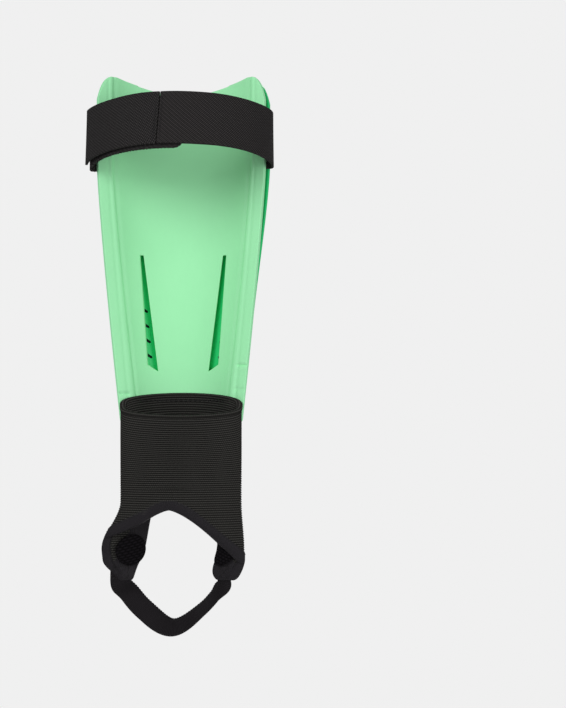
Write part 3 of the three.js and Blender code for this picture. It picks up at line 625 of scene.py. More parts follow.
def shellPlate():
    # a grid from edge to edge at two offsets, with a smooth ridge down the middle of the front
    share = np.linspace(-1, 1, shell["columns"])
    row = np.linspace(0, 1, shell["rows"])[:, None]
    z = mix(bottomEdge(share) + shell["inset"], topEdge(share) - shell["inset"], row)
    arc = share * shellEdgeArc(z, share)
    inner = guardPoint(z, arc, shellOffset)
    ridge = shell["ridgeHeight"] * (1 - ease(np.abs(inner[..., 0]), 0, shell["ridgeHalf"]))
    outer = guardPoint(z, arc, shellOffset + shell["thickness"] + ridge)
    made = plate("shellPlate", inner, outer, stack(arc, z, 0)[..., :2])
    cutter = ventCutter()
    cut = made.modifiers.new("vents", "BOOLEAN")
    cut.object = cutter
    cut.solver = "EXACT"
    softEdges(made, shell["edge"], 3, 50)
    applyModifiers(made)
    bpy.data.objects.remove(cutter)
    dress(made, shellMaterial, "shell", "shell")
    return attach(made, "guard")


def ventShadeSheets():
    # a thin dark sheet in the middle of the shell's wall closes the vents on each side: painted shade that
    # stands for the shadow seen through the vents
    low = shell["ventLowest"] - 3 * mm
    high = shell["ventLowest"] + (shell["vents"] - 1) * shell["ventPitch"] + 9 * mm
    z = np.linspace(low, high, 60)[:, None]
    share = (z - foam["slotBottomZ"]) / (foam["slotTopZ"] - foam["slotBottomZ"])
    x = mix(foam["slotBottomX"], foam["slotTopX"], share) + np.linspace(-2 * mm, 13 * mm, 16)
    s = sectionAt(z)
    for side, label in ((-1, "Left"), (1, "Right")):
        arc = side * s["radius"] * np.arcsin(np.clip(x / (s["radius"] + shellOffset), -0.8, 0.8))
        middle = shellOffset + shell["thickness"] / 2
        inner = guardPoint(z, arc, middle)
        outer = guardPoint(z, arc, middle + shell["shadeSheetThickness"])
        shadeSheet = plate("ventShadeSheet" + label, inner, outer, stack(arc, z, 0)[..., :2])
        dress(shadeSheet, ventShadeMaterial, "shell")
        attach(shadeSheet, "guard")


foamBacking()
shellPlate()
ventShadeSheets()
print("guard made")


# The calf strap: right half and tab run round the calf on one plan curve.

strap = {
    "width": 38 * mm, "centreZ": 79.5 * mm, "rise": 8.2 * mm, "risePower": 1.5,
    "thickness": 1.8 * mm, "reach": 44 * mm, "bulge": 6 * mm, "ripple": 0.35 * mm,
    "shoulder": 0.72, "lean": math.radians(18), "anchorHold": 7 * mm, "pivotClear": 2.5 * mm,
    "layerRise": 0.3, "lapX": -11.5 * mm, "lapGap": 0.001, "endPlace": 0.9, "tab": 1.5 * mm,
    "tabEndX": 5 * mm, "hook": 0.8 * mm, "hookStartX": -44 * mm, "hookMargin": 1.5 * mm,
    "edge": 0.5 * mm, "across": 20, "stepLength": 0.8 * mm, "tabDrop": 2.0 * mm,
    "tabCorner": 7 * mm, "tabRipple": 0.2 * mm, "tabEdge": 0.4 * mm, "fray": 0.22 * mm,
    "patch": 0.35 * mm, "patchEdge": 0.12 * mm, "lapThread": 0.26 * mm,
}
pile = {
    "rows": 52, "columns": 26, "reach": 0.86, "stagger": 0.0018, "foot": 0.3 * mm,
    "top": 0.62 * mm, "half": 0.22 * mm, "radius": 0.13 * mm,
}
anchorOffset = guard["flangeFoam"] + touchGap


def exitArc(side):
    z = np.array(strap["centreZ"])
    past = max(float(sectionAt(z)["edgeArc"]), float(shellEdgeArc(z, side)))
    return side * (past + strap["pivotClear"])


def strapHalf(side):
    middle = anchorOffset + strap["thickness"] / 2
    start = guardPoint(np.array(strap["centreZ"]), np.array(exitArc(side)), middle)
    out = np.array([side * math.cos(guard["flangeAngle"]), -math.sin(guard["flangeAngle"])])
    first = start[:2]
    turn = np.array([side * abs(first[0]) * strap["shoulder"], edgeY - strap["reach"]])
    return [first, first + out * strap["bulge"], turn, np.array([0, edgeY - strap["reach"]])]


halves = {1: strapHalf(1), -1: strapHalf(-1)}


def strapPlan(t):
    # Two cubic Bezier curves, right from 0 to a half and left from a half to 1. Past either end it goes on
    # straight along the flange. The normal points away from the leg.
    point, tangent = np.zeros(t.shape + (2,)), np.zeros(t.shape + (2,))
    for side in (1, -1):
        here = t <= 0.5 if side == 1 else t > 0.5
        s = np.clip(2 * t if side == 1 else 2 - 2 * t, 0, 1)[..., None]
        a, b, c, d = halves[side]
        where = (1 - s) ** 3 * a + 3 * (1 - s) ** 2 * s * b + 3 * (1 - s) * s ** 2 * c + s ** 3 * d
        along = (1 - s) ** 2 * (b - a) + 2 * (1 - s) * s * (c - b) + s ** 2 * (d - c)
        point[here], tangent[here] = where[here], (unit(along) * side)[here]
    return point, np.stack([-tangent[..., 1], tangent[..., 0]], -1), tangent


def placeAtX(x):
    t = np.linspace(0.15, 0.85, 4001)
    return float(np.interp(-x, -strapPlan(t)[0][:, 0], t))


def strapPoint(t, rise, offset, halfWidth, before=0.0, side=1):
    # before is a distance back from the curve's start on that side, along the flange
    point, normal, tangent = strapPlan(t)
    point = point - tangent * side * np.asarray(before)[..., None]
    lean = strap["lean"] * np.sin(np.pi * np.clip(t, 0, 1)) ** 2
    up = rise * halfWidth
    outward = offset * np.cos(lean) - up * np.sin(lean)
    centre = strap["centreZ"] + strap["rise"] * np.sin(np.pi * np.clip(t, 0, 1)) ** strap["risePower"]
    z = centre + up * np.cos(lean) + offset * np.sin(lean)
    flat = point + normal * outward[..., None]
    return stack(flat[..., 0], flat[..., 1], z)


hookOffset = strap["tab"] / 2 + touchGap
loopOffset = hookOffset + strap["hook"] + touchGap


def strapLayer(t):
    # the strap leaves the guard on the curve and then lies outside the tab
    rise = ease(t, 0, strap["layerRise"])
    return mix(-strap["thickness"] / 2, loopOffset, rise)


def bandGrid(start, stop, anchor, side):
    # evenly stepped places along a strap piece, with its straight anchored end, and their run in metres
    t = np.linspace(start, stop, 400)
    run = runLength(strapPlan(t)[0])
    count = max(int(run[-1] / strap["stepLength"]), 2)
    even = np.interp(np.linspace(0, run[-1], count), run, t)
    tail = np.zeros(0)
    if anchor:
        tail = np.linspace(anchor, 0, int(anchor / strap["stepLength"]) + 1, endpoint=False)
    if side == 1:
        places = np.concatenate([np.full(len(tail), start), even])
        before = np.concatenate([tail, np.zeros(count)])
        length = np.concatenate([anchor - tail, anchor + np.linspace(0, run[-1], count)])
    else:
        places = np.concatenate([even, np.full(len(tail), stop)])
        before = np.concatenate([np.zeros(count), tail[::-1]])
        length = np.concatenate([np.linspace(0, run[-1], count), run[-1] + tail[::-1]])
    return places, before, length


def bandPiece(name, start, stop, anchor, side, layer, thickness, halfWidth, ripple=0.0, drop=0.0):
    # A strap piece: a grid of its run and its width at two offsets. A ripple of slow sines lifts the edges.
    # A piece with a drop lies lower, has round corners at its free end and frayed edges.
    t, before, length = bandGrid(start, stop, anchor, side)
    rise = np.sin(np.linspace(-1, 1, strap["across"]) * np.pi / 2)[:, None]
    half = halfWidth + 0 * length
    if drop:
        corner = strap["tabCorner"]
        fromEnd = length if side == -1 else length[-1] - length
        half = half - corner + np.sqrt(np.maximum(corner ** 2 - np.maximum(corner - fromEnd, 0) ** 2, 0))
        frayed = np.sin(length * 3300) + np.sin(length * 5100 + 1)
        half = half + strap["fray"] * frayed * ease(fromEnd, 0, corner)
    wave = ripple * np.sin(length * 75 + 1.3) * rise ** 3 + 0.6 * ripple * np.sin(length * 131) * rise ** 2
    wave = wave * ease(t, 0.04, 0.15) * ease(1 - t, 0.04, 0.15)
    base = layer(t) + wave
    place = rise - drop / halfWidth
    faces = [strapPoint(t + 0 * rise, place, base + k * thickness, half, before + 0 * rise, side)
             for k in (0, 1)]
    cloth = stack(rise * halfWidth, length + 0 * rise, 0)[..., :2]
    return plate(name, faces[0], faces[1], cloth), float(length[-1])


def calfStrap():
    hold = abs(exitArc(1)) - float(sectionAt(np.array(strap["centreZ"]))["edgeArc"]) + strap["anchorHold"]
    lap = placeAtX(strap["lapX"])
    elastic, run = bandPiece("strapElastic", 0, lap - strap["lapGap"], hold, 1, strapLayer,
                             strap["thickness"], strap["width"] / 2, strap["ripple"])
    softEdges(elastic, strap["edge"])
    dress(elastic, twillMaterial, "strap_elastic", "strap_elastic", "strap_anchor_right")
    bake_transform(elastic)

    loop, run = bandPiece("strapLoopPanel", lap + strap["lapGap"], strap["endPlace"], 0, 1, strapLayer,
                          strap["thickness"], strap["width"] / 2, strap["ripple"])
    softEdges(loop, strap["edge"])
    dress(loop, loopMaterial, "loop_panel", "strap_loop_panel")
    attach(loop, "calf_strap")
    return lap


def strapStitching(lap):
    # two rows of thread run across the strap, beside the lap
    count = 15
    rise = np.linspace(-0.86, 0.86, count + 1)
    rows = []
    for shift in (-1.4 * mm, 1.4 * mm):
        t = np.full(count + 1, lap + shift / (4 * strap["reach"]))
        layer = strapLayer(t) + strap["thickness"] + 0.1 * mm
        line = strapPoint(t, rise, layer, strap["width"] / 2)
        normal = unit(line - strapPoint(t, rise, layer - mm, strap["width"] / 2))
        rows.append((mix(line[:-1], line[1:], 0.1), mix(line[:-1], line[1:], 0.85), normal[:-1]))
    start, end, out = (np.concatenate(part) for part in zip(*rows))
    made = stitches("strapLapStitching", start, end, out, strap["lapThread"])
    dress(made, threadMaterial, "thread", "strap_lap_stitching")
    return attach(made, "calf_strap")


def hookTab():
    hold = abs(exitArc(-1)) - float(sectionAt(np.array(strap["centreZ"]))["edgeArc"]) + strap["anchorHold"]
    start = placeAtX(strap["tabEndX"])
    half = strap["width"] / 2
    tab, run = bandPiece("hookTab", start, 1, hold, -1, lambda t: -strap["tab"] / 2 + 0 * t,
                         strap["tab"], half, strap["tabRipple"], drop=strap["tabDrop"])
    softEdges(tab, strap["tabEdge"])
    dress(tab, twillMaterial, "strap_elastic", "hook_tab", "strap_anchor_left")
    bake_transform(tab)
    patch, run = bandPiece("hookPatch", placeAtX(strap["tabEndX"] - 2 * strap["hookMargin"]),
                           placeAtX(strap["hookStartX"]), 0, 1, lambda t: hookOffset + 0 * t,
                           strap["patch"], half - strap["hookMargin"])
    softEdges(patch, strap["patchEdge"], 2)
    dress(patch, hookMaterial, "hook_tape", "hook_patch")
    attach(patch, "hook_tab")
    hooks(placeAtX(strap["tabEndX"] - 3 * strap["hookMargin"]),
          placeAtX(strap["hookStartX"] + strap["hookMargin"]))


def hooks(start, stop):
    # rows of short bent monofilaments that stand on the patch
    t, rise = np.meshgrid(np.linspace(start, stop, pile["rows"]),
                          np.linspace(-pile["reach"], pile["reach"], pile["columns"]), indexing="ij")
    t = (t + pile["stagger"] * (np.arange(pile["columns"]) % 2)).ravel()
    rise = rise.ravel()
    half = strap["width"] / 2
    base = strapPoint(t, rise, hookOffset + pile["foot"], half)
    high = strapPoint(t, rise, hookOffset + pile["top"], half)
    along = unit(strapPoint(t + 0.001, rise, hookOffset + pile["foot"] + 0 * t, half) - base)
    out = unit(high - base)
    made = stitches("hookPile", base - pile["half"] * along, base + pile["half"] * along, out, pile["radius"])
    dress(made, hookMaterial, "hook_tape")
    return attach(made, "hook_tab")


lapPlace = calfStrap()
strapStitching(lapPlace)
hookTab()
print("strap made")


# The ankle sleeve with its cut-outs and lobes.

sleeve = {
    "halfWidth": 42.3 * mm, "wall": 1.8 * mm, "fold": 3 * mm, "gap": 0.8 * mm, "rearBulge": 9 * mm,
    "frontRim": -100.6 * mm, "rearRim": -115 * mm, "rimPower": 0.6, "hem": 2.8 * mm, "flatStart": -125 * mm,
    "flatEnd": -180 * mm, "flatShare": 0.62, "binding": 9 * mm, "bindingProud": 0.5 * mm,
    "archShift": -8 * mm, "heelArch": -178 * mm, "instepArch": -174 * mm, "heelDropRight": 38 * mm,
    "heelDropLeft": 20 * mm, "heelPower": 1.4, "lobeBottom": -228 * mm, "lobeInner": 19 * mm,
    "lobeOuter": 33 * mm, "lobeTurn": math.radians(26), "lobeWaist": 5 * mm, "flareLeft": 13.5 * mm,
    "flareRight": 2 * mm, "tuckLeft": -3 * mm, "tuckRight": 9 * mm, "tuckStart": -205 * mm,
    "tuckEnd": -226 * mm, "flareStart": -172 * mm, "flareEnd": -207 * mm,
    "flareRound": -214 * mm, "flareRoundShare": 0.6, "columns": 168, "rib": 1.6 * mm, "rowsPerRib": 6,
    "ribDepth": 0.55 * mm, "knitDepth": 124 * mm, "hemCloth": 10 * mm, "hemProud": 0.7 * mm,
    "bindingCloth": 15 * mm, "bindingThread": 0.2 * mm, "seamThread": 0.25 * mm, "seamStitches": 40,
    "furrow": 1.5 * mm, "roll": 1.0 * mm, "slowWave": 0.35 * mm, "quickWave": 0.25 * mm,
}


def rimZ(angle):
    # level in front and behind and steep at the side folds: a power of the sine
    side = np.sin(angle)
    share = (1 + np.sign(side) * np.abs(side) ** sleeve["rimPower"]) / 2
    return mix(sleeve["rearRim"], sleeve["frontRim"], share)


def heelEdge(x):
    toRight = x > sleeve["archShift"]
    span = sleeve["halfWidth"] - np.where(toRight, 1, -1) * sleeve["archShift"]
    drop = np.where(toRight, sleeve["heelDropRight"], sleeve["heelDropLeft"])
    return sleeve["heelArch"] - drop * (np.abs(x - sleeve["archShift"]) / span) ** sleeve["heelPower"]


def edgeAbove(angle, distance):
    # the lower edge and lines above it: heel cut-out behind, instep cut-out and lobes in front
    x = sleeve["halfWidth"] * np.cos(angle)
    fall = ease(np.abs(x), sleeve["lobeInner"] + distance, sleeve["lobeOuter"] + distance)
    instep = mix(sleeve["instepArch"], sleeve["lobeBottom"], fall)
    front = ease(np.sin(angle), 0, math.sin(sleeve["lobeTurn"]))
    return distance + mix(heelEdge(x), instep, front)


def sleevePoint(angle, z, inset, proud=0.0):
    # Half an ellipse behind, the guard's inner face in front, the lower ends turned out. inset 0 is the
    # outer face and 1 the inner one, and proud moves both away from the wall.
    half = sleeve["halfWidth"]
    outerX = half * np.cos(angle)
    extra = (2 * inset - 1) * proud
    x = outerX * (1 - (inset * sleeve["fold"] + extra) / half)
    level = np.maximum(z, guard["bottom"])
    base = innerFaceY(np.array(half), level) - sleeve["gap"]
    flat = mix(1, sleeve["flatShare"], ease(-z, -sleeve["flatStart"], -sleeve["flatEnd"]))
    front = flat * (innerFaceY(outerX, level) - sleeve["gap"] - base)
    top = flat * (innerFaceY(np.array(0.0), level) - sleeve["gap"] - base)
    rear = sleeve["rearBulge"] * np.sin(angle)
    wall = inset * sleeve["wall"] + extra
    y = np.where(np.sin(angle) >= 0, front * (top - wall) / top,
                 rear * (sleeve["rearBulge"] - wall) / sleeve["rearBulge"])
    low = ease(-z, -sleeve["flareStart"], -sleeve["flareEnd"])
    kept = 1 - sleeve["flareRoundShare"] * ease(-z, -sleeve["flareRound"], -sleeve["lobeBottom"])
    aside = ease(np.abs(x), sleeve["lobeInner"] + sleeve["lobeWaist"], half)
    flare = np.where(x < 0, sleeve["flareLeft"], sleeve["flareRight"])
    tucked = ease(-z, -sleeve["tuckStart"], -sleeve["tuckEnd"])
    tuck = np.where(x < 0, sleeve["tuckLeft"], sleeve["tuckRight"])
    x = x + np.sign(x) * (flare * low * kept * aside - tuck * tucked * (1 - aside))
    return stack(x, base + y, z)


def crowded(count):
    even = 2 * np.pi * np.arange(count) / count
    return even + 0.15 * np.sin(4 * even)


def seamedRun(points):
    # run round a closed line of points, with one more value where it meets its start
    closed = np.concatenate([points, points[:1]])
    return runLength(closed)


def sleeveFolds(angle, z):
    # Soft creases of the rear wall: a furrow over the arch with a roll under it, and slow upright waves.
    x = sleeve["halfWidth"] * np.cos(angle)
    rear = ease(-np.sin(angle), 0.1, 0.5)
    arch = sleeve["heelArch"] + 14 * mm - 0.004 * ((x + 6 * mm) / (20 * mm)) ** 2
    near = np.exp(-((x + 5 * mm) / (17 * mm)) ** 2)
    furrow = -sleeve["furrow"] * near * np.exp(-((z - arch) / (2.2 * mm)) ** 2)
    roll = sleeve["roll"] * near * np.exp(-((z - arch + 5 * mm) / (3.2 * mm)) ** 2)
    waves = sleeve["slowWave"] * np.sin(x * 150 + z * 40) + sleeve["quickWave"] * np.sin(x * 90 - z * 75 + 2)
    return rear * (furrow + roll + waves)


def sleeveKnit():
    # Rows follow the ribs: near the mouth they lie parallel to the rim, lower down they are level. Cells
    # below the middle of the binding are left out. Each face is moved along the wall by the ribs' profile.
    pitch = sleeve["rib"] / sleeve["rowsPerRib"]
    angle = crowded(sleeve["columns"])
    depth = np.arange(0, sleeve["knitDepth"], pitch)[:, None]
    meanRim = (sleeve["rearRim"] + sleeve["frontRim"]) / 2
    z = meanRim - depth + (rimZ(angle) - meanRim) * (1 - ease(depth, 0, 60 * mm))
    outer = sleevePoint(angle, z, 0 * z)
    inner = sleevePoint(angle, z, 1 + 0 * z)
    out = unit(outer - inner)
    ribs = np.abs(np.sin(np.pi * depth / sleeve["rib"])) ** 0.7
    uneven = 1 + 0.25 * np.sin(3 * angle + 40 * depth) + 0.15 * np.sin(11 * angle + 1)
    lift = sleeveFolds(angle, z)[..., None] * out
    outer = outer + lift + (sleeve["ribDepth"] * (ribs - 0.75) * uneven)[..., None] * out
    inner = inner + lift - (0.7 * sleeve["ribDepth"] * (ribs - 0.75) * uneven)[..., None] * out
    middle = (z[:-1] + z[1:]) / 2
    middle = (middle + np.roll(middle, -1, axis=1)) / 2
    turned = angle + (np.roll(np.unwrap(angle), -1) - angle) % (2 * np.pi) / 2
    keep = middle > edgeAbove(turned, sleeve["binding"] * 0.45)
    run = seamedRun(outer[len(outer) // 4])
    cloth = stack(run, depth, 0)[..., :2]
    made = plate("sleeveKnit", inner, outer, cloth, wrap=True, keep=keep)
    dress(made, knitMaterial, "rib_knit", "ankle_sleeve")
    sizes = (float(run[-1]), sleeve["knitDepth"])
    return made, sizes


def roundSection(count, flat):
    # a rounded bar: the point's place through the wall and up the band, both from -1 to 1
    turn = np.linspace(0, 2 * np.pi, count, endpoint=False)
    through = np.sign(np.cos(turn)) * np.abs(np.cos(turn)) ** flat
    up = np.sign(np.sin(turn)) * np.abs(np.sin(turn)) ** flat
    return turn[:, None], through[:, None], up[:, None]


def sleeveHem():
    # the folded rim: a rounded bar swept round the mouth
    angle = crowded(280)
    turn, through, up = roundSection(28, 0.75)
    height = sleeve["hem"] * 1.25
    z = rimZ(angle) + height * (0.44 + 0.5 * up)
    inset = 0.5 - 0.5 * through
    proud = sleeve["hemProud"] * np.abs(through) * (1 + 0.12 * np.sin(17 * angle))
    points = sleevePoint(angle, z + 0 * inset, inset + 0 * z, proud + 0 * z)
    run = seamedRun(points[0])
    cloth = stack(run, np.linspace(0, sleeve["hemCloth"], 29)[:, None], 0)[..., :2]
    made = loopTube("sleeveHem", points, cloth)
    dress(made, knitMaterial, "rib_knit", "sleeve_top_hem")
    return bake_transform(made)


def openingBinding():
    # Elastic tape folded over the edge: a rounded bar that follows the edge, wider than the knit it holds.
    angle = crowded(420)
    turn, through, up = roundSection(32, 0.55)
    distance = sleeve["binding"] * (0.5 + 0.5 * up)
    z = edgeAbove(angle, distance)
    inset = 0.5 - 0.5 * through
    pucker = 1 + 0.12 * np.sin(angle * 190) * ease(up, -0.2, 0.9)
    proud = sleeve["bindingProud"] * 1.1 * np.abs(through) ** 0.5 * pucker
    points = sleevePoint(angle, z, inset + 0 * z, proud + 0 * z)
    run = seamedRun(points[24])
    cloth = stack(np.linspace(0, sleeve["bindingCloth"], 33)[:, None], run, 0)[..., :2]
    made = loopTube("openingBinding", points, cloth)
    dress(made, bindingMaterial, "binding", "opening_binding")
    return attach(made, "ankle_sleeve")


def bindingStitching():
    # a row of thread on both faces, just below the tape's edge
    angle = crowded(2400)
    rows = []
    for inset in (0, 1):
        proud = sleeve["bindingProud"] * 1.1
        z = edgeAbove(angle, sleeve["binding"] * 0.78)
        line = sleevePoint(angle, z, inset + 0 * z, proud)
        back = sleevePoint(angle, z, 0.5 + 0 * z, 0.0)
        run = runLength(line)
        marks = np.arange(0, run[-1] - 2 * mm, 2.1 * mm)
        ends = [np.stack([np.interp(marks + s, run, line[:, k]) for k in range(3)], 1) for s in (0, 1.5 * mm)]
        behind = np.stack([np.interp(marks, run, back[:, k]) for k in range(3)], 1)
        rows.append((ends[0], ends[1], ends[0] - behind))
    start, end, out = (np.concatenate(part) for part in zip(*rows))
    made = stitches("bindingStitching", start, end, out, sleeve["bindingThread"])
    dress(made, threadMaterial, "thread")
    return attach(made, "ankle_sleeve")


def sleeveSeam():
    # zigzag thread that sews the front of the rim to the guard's panel
    count = sleeve["seamStitches"]
    angle = np.linspace(math.radians(40), math.radians(140), count + 1)
    z = sleeve["frontRim"] - 1.2 * mm - 1.6 * mm * (np.arange(count + 1) % 2)
    line = sleevePoint(angle, z, np.ones(count + 1))
    line[:, 1] -= 0.2 * mm
    out = np.tile([0.0, -1.0, 0.0], (count, 1))
    made = stitches("sleeveSeamStitching", line[:-1], line[1:], out, sleeve["seamThread"])
    dress(made, threadMaterial, "thread", "sleeve_seam_stitching")
    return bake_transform(made)


knit, knitSizes = sleeveKnit()
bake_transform(knit)
sleeveHem()
openingBinding()
bindingStitching()
sleeveSeam()
print("sleeve made")


pads = {
    "halfWidth": 5 * mm, "halfHeight": 10 * mm, "thickness": 2 * mm, "centreX": 32.7 * mm,
    "centreZ": -206.5 * mm, "gap": 2.2 * mm, "lining": 0.8 * mm, "margin": 1 * mm, "cells": 48,
}


def padPoint(side, spread, margin, turn, depth):
    # an oval on the lobe's inner face, moved towards the ankle by its depth
    x = pads["centreX"] + (spread * pads["halfWidth"] + margin) * np.cos(turn)
    z = pads["centreZ"] + (spread * pads["halfHeight"] + margin) * np.sin(turn)
    place = sleevePoint(np.arccos(np.clip(side * x / sleeve["halfWidth"], -1, 1)), z, 1 + 0 * z)
    place[..., 1] -= depth
    return place


def discGrid(cells):
    # a square grid pressed into a round disc, which has no pole: each axis shrinks with the other's square
    u, v = np.meshgrid(np.linspace(-1, 1, cells + 1), np.linspace(-1, 1, cells + 1))
    return u * np.sqrt(1 - v ** 2 / 2), v * np.sqrt(1 - u ** 2 / 2)


def padPiece(name, side, margin, front, back):
    # a closed oval from two faces over the same disc
    x, z = discGrid(pads["cells"])
    spread, turn = np.minimum(np.hypot(x, z), 1), np.arctan2(z, x)
    faces = [padPoint(side, spread, margin * spread, turn, f(spread)) for f in (back, front)]
    cloth = stack(x * pads["halfWidth"], z * pads["halfHeight"], 0)[..., :2]
    return plate(name, faces[0], faces[1], cloth)


def padDepth(spread):
    return pads["thickness"] * (1 - spread ** 4)


def anklePads():
    for side, label in ((-1, "Left"), (1, "Right")):
        low = label.lower()
        pad = padPiece("anklePad" + label, side, 0.0, lambda s: pads["gap"] + padDepth(s) + 0.05 * mm,
                       lambda s: pads["gap"] + 0 * s)
        dress(pad, meshMaterial, "pad_foam", "ankle_pad_" + low)
        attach(pad, "ankle_sleeve")
        base = pads["gap"] + touchGap

        def lacy(s):
            rib = 0.25 * mm * np.cos(s * 9 * np.pi) * (1 - s)
            return base + padDepth(s) + pads["lining"] * (1 - s ** 6) + rib

        cover = padPiece("padLining" + label, side, pads["margin"], lacy, lambda s: base + padDepth(s))
        dress(cover, meshMaterial, "pad_lining", "pad_lining_" + low)
        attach(cover, "ankle_sleeve")


anklePads()
print("pads made")


stirrup = {
    "width": 15 * mm, "thickness": 1.5 * mm, "drop": 31 * mm, "lowX": -7 * mm,
    "leftX": -42.3 * mm, "rightX": 30 * mm, "turns": (52, 88, 42, 26, 28), "pinch": 0.4,
    "clear": 4 * mm, "tack": 11 * mm, "tackThread": 0.2 * mm, "scallop": 2.1 * mm,
    "scallopDepth": 0.5 * mm, "rows": 16, "edge": 0.35 * mm, "smoothing": 40, "onLobe": 1.3,
}
stirrupTop = sleeve["lobeBottom"] - stirrup["clear"]
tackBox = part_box("stirrup_tack_left")
stirrupY = (tackBox[0].y + tackBox[1].y) / 2


def throughPoints(points, count):
    # a centripetal Catmull-Rom curve: each span is the cubic whose end slopes come from uneven knots
    points = np.array(points)
    ends = np.concatenate([[2 * points[0] - points[1]], points, [2 * points[-1] - points[-2]]])
    t = np.linspace(0, 1, count, endpoint=False)[:, None]
    spans = []
    for k in range(1, len(points)):
        p0, p1, p2, p3 = ends[k - 1:k + 3]
        d0, d1, d2 = (math.sqrt(np.linalg.norm(b - a)) for a, b in ((p0, p1), (p1, p2), (p2, p3)))
        m1 = ((p1 - p0) / d0 - (p2 - p0) / (d0 + d1) + (p2 - p1) / d1) * d1
        m2 = ((p2 - p1) / d1 - (p3 - p1) / (d1 + d2) + (p3 - p2) / d2) * d1
        square, cube = 3 * (p2 - p1) - 2 * m1 - m2, 2 * (p1 - p2) + m1 + m2
        spans.append(p1 + m1 * t + square * t ** 2 + cube * t ** 3)
    return np.concatenate(spans + [points[-1:]])


def lobeFaceY(x, z, inset, proud):
    # The lobe's wall as a height over x: the angle is moved step by step until the turned-out wall is at x.
    reach = x + 0 * z
    for again in range(12):
        angle = np.arccos(np.clip(reach / sleeve["halfWidth"], -1, 1))
        wall = sleevePoint(angle, z + 0 * x, inset + 0 * angle, proud)
        reach = reach + 0.8 * (x - wall[..., 0])
    return wall[..., 1]


def stirrupStrap():
    # The sewn ends lie flat on the lobes and twist into the strap, whose face turns from left to right.
    # The inner edge is scalloped by a row of small arcs.
    bottom = stirrupTop - stirrup["drop"]
    middleZ = stirrupTop - 0.57 * stirrup["drop"]
    route = throughPoints([
        (stirrup["leftX"], stirrupY, stirrupTop),
        (mix(stirrup["leftX"], stirrup["lowX"], 0.42), stirrupY, middleZ),
        (stirrup["lowX"], stirrupY, bottom),
        (mix(stirrup["rightX"], stirrup["lowX"], 0.42), stirrupY, middleZ),
        (stirrup["rightX"], stirrupY, stirrupTop)], 80)
    ends = np.linspace(sleeve["lobeBottom"] + stirrup["tack"], stirrupTop, 40, endpoint=False)
    left = stack(stirrup["leftX"], stirrupY, ends)
    right = stack(stirrup["rightX"], stirrupY, ends)[::-1]
    path = np.concatenate([left, route, right])
    run = runLength(path)
    marks = np.linspace(0, run[-1], int(run[-1] / (0.3 * mm)))
    path = np.stack([np.interp(marks, run, path[:, k]) for k in range(3)], 1)
    share = np.linspace(0, 1, len(marks))
    for again in range(stirrup["smoothing"]):
        path[1:-1] = (path[:-2] + 2 * path[1:-1] + path[2:]) / 4
    tangent = unit(np.gradient(path, axis=0))
    inPlane = unit(np.stack([-tangent[:, 2], 0 * share, tangent[:, 0]], 1))
    fromTop = np.minimum(marks, marks[-1] - marks)
    twist = ease(fromTop, stirrup["tack"] - 1 * mm, stirrup["tack"] + 16 * mm)
    hung = (marks - stirrup["tack"]) / (marks[-1] - 2 * stirrup["tack"])
    stops = np.linspace(0, 1, len(stirrup["turns"]))
    fine = np.interp(np.linspace(0, 1, 201), stops, np.radians(stirrup["turns"]))
    fine = np.convolve(np.pad(fine, 12, mode="edge"), np.full(25, 1 / 25), mode="valid")
    face = np.interp(hung, np.linspace(0, 1, 201), fine)
    turn = mix(math.pi / 2, face, twist)
    across = np.array([0, 1, 0]) * np.cos(turn)[:, None] + inPlane * np.sin(turn)[:, None]
    normal = np.cross(across, tangent)
    place = np.linspace(-1, 1, stirrup["rows"])[:, None]
    notch = np.abs(np.sin(np.pi * marks / stirrup["scallop"])) ** 0.6 - 1
    half = stirrup["width"] / 2 + np.where(place > 0, notch * stirrup["scallopDepth"], 0)
    narrow = mix(0.04, stirrup["pinch"], ease(share, 0.4, 0.6))
    half = half * (1 - narrow * (1 - ease(fromTop, stirrup["tack"] - 4 * mm, stirrup["tack"] + 18 * mm)))
    faces = []
    for side in (-0.5, 0.5):
        edgeThin = 1 - 0.35 * np.abs(place) ** 6
        level = side * stirrup["thickness"] * edgeThin
        points = path + across * (place * half)[..., None] + normal * level[..., None]
        sewn = lobeFaceY(points[..., 0], points[..., 2], 0, sleeve["bindingProud"] * stirrup["onLobe"])
        sewn = sewn + 0.5 * stirrup["thickness"] + np.sign(normal[:, 1]) * level
        lay = 1 - ease(fromTop, stirrup["tack"] - 1 * mm, stirrup["tack"] + 14 * mm)
        points[..., 1] = mix(points[..., 1], sewn, lay)
        faces.append(points)
    cloth = stack(place * stirrup["width"] / 2, marks, 0)[..., :2]
    made = plate("stirrupStrap", faces[0], faces[1], cloth)
    softEdges(made, stirrup["edge"], 2)
    dress(made, stirrupMaterial, "strap_elastic", "stirrup_strap", "stirrup_tack_left", "stirrup_tack_right")
    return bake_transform(made)


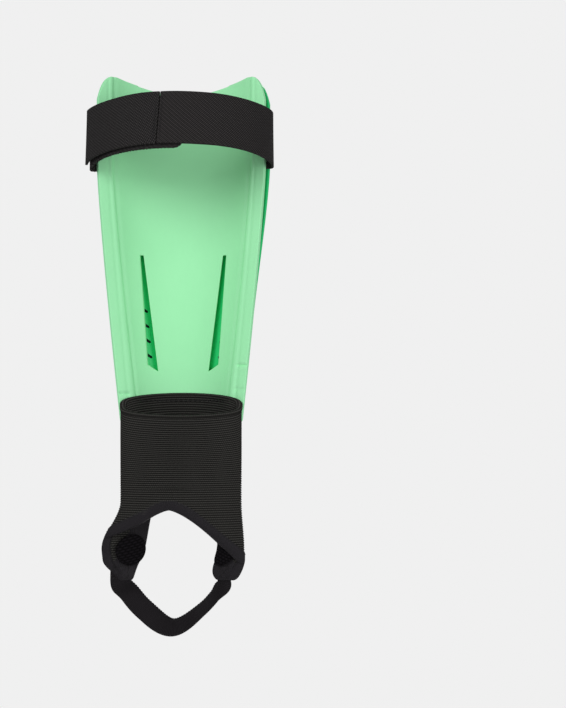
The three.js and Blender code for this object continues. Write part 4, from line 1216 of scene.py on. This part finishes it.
def tackStitching():
    # a box with a cross in it on each sewn end, front and back
    half, low, high = 5.2 * mm, 1.6 * mm, stirrup["tack"] - 1.2 * mm
    corners = np.array([[-half, low], [half, low], [half, high], [-half, high], [-half, low], [half, high],
                        [half, low], [-half, high]])
    run = runLength(corners)
    marks = np.arange(0, run[-1] - mm, 1.7 * mm)
    ends = [np.stack([np.interp(marks + s, run, corners[:, k]) for k in range(2)], 1) for s in (0, 1.25 * mm)]
    start, end, out = [], [], []
    for x, narrow in ((stirrup["leftX"], 1), (stirrup["rightX"], 1 - stirrup["pinch"])):
        for face in (-1, 1):
            for spots, found in ((ends[0], start), (ends[1], end)):
                across, z = x + narrow * spots[:, 0], sleeve["lobeBottom"] + spots[:, 1]
                y = lobeFaceY(across, z, (1 - face) / 2, sleeve["bindingProud"] * stirrup["onLobe"])
                y = y + (stirrup["thickness"] + 0.05 * mm if face == 1 else -0.05 * mm)
                found.append(stack(across, y, z))
            out.append(np.tile([0.0, face, 0.0], (len(marks), 1)))
    start, end, out = (np.concatenate(part) for part in (start, end, out))
    made = stitches("tackStitching", start, end, out, stirrup["tackThread"])
    dress(made, threadMaterial, "thread")
    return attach(made, "ankle_sleeve")


stirrupStrap()
tackStitching()
print("stirrup made")


# Floor, light and camera

studio = {
    "floorZ": -0.45, "floorRadius": 0.5, "background": 0.871, "ambient": 0.34,
    "cameraX": 71.3 * mm, "cameraZ": -69.5 * mm, "distance": 1.0, "lens": 72.64,
    "aim": (0, 0, -0.05),
    "lights": (("key", (-0.7, -1.2, 0.6), 0.9, 11.5), ("fill", (0.9, -1.0, 0.0), 0.8, 6.5),
               ("front", (0.2, 1.3, 0.8), 1.0, 12.0)),
}


def setStudio():
    x, y = discGrid(32)
    points = stack(studio["floorRadius"] * x, studio["floorRadius"] * y, studio["floorZ"])
    floor = plate("floor", points - [0, 0, 5 * mm], points, points[..., :2])
    material, tree, shader = newMaterial("floorPale")
    shader.inputs["Base Color"].default_value = (0.82, 0.82, 0.82, 1)
    shader.inputs["Roughness"].default_value = 0.9
    floor.data.materials.append(material)

    world = bpy.data.worlds.new("studio")
    bpy.context.scene.world = world
    world.use_nodes = True
    tree = world.node_tree
    back = tree.nodes["Background"]
    back.inputs["Color"].default_value = (1, 1, 1, 1)
    seen = tree.nodes.new("ShaderNodeLightPath").outputs["Is Camera Ray"]
    level = calc(tree, "MULTIPLY_ADD", seen, studio["background"] - studio["ambient"], studio["ambient"])
    tree.links.new(level, back.inputs["Strength"])

    for name, place, size, power in studio["lights"]:
        lamp = bpy.data.lights.new(name, "AREA")
        lamp.shape = "DISK"
        lamp.size = size
        lamp.energy = power
        made = bpy.data.objects.new(name, lamp)
        bpy.context.scene.collection.objects.link(made)
        made.location = place
        made.rotation_euler = (Vector(studio["aim"]) - Vector(place)).to_track_quat("-Z", "Y").to_euler()


def setCamera():
    camera = bpy.data.cameras.new("camera")
    camera.lens = studio["lens"]
    camera.sensor_width = 36
    made = bpy.data.objects.new("camera", camera)
    bpy.context.scene.collection.objects.link(made)
    made.location = (studio["cameraX"], edgeY - studio["distance"], studio["cameraZ"])
    made.rotation_euler = (math.pi / 2, 0, 0)
    bpy.context.scene.camera = made


setStudio()
setCamera()
bpy.context.scene.view_settings.view_transform = "Standard"
print("studio set")
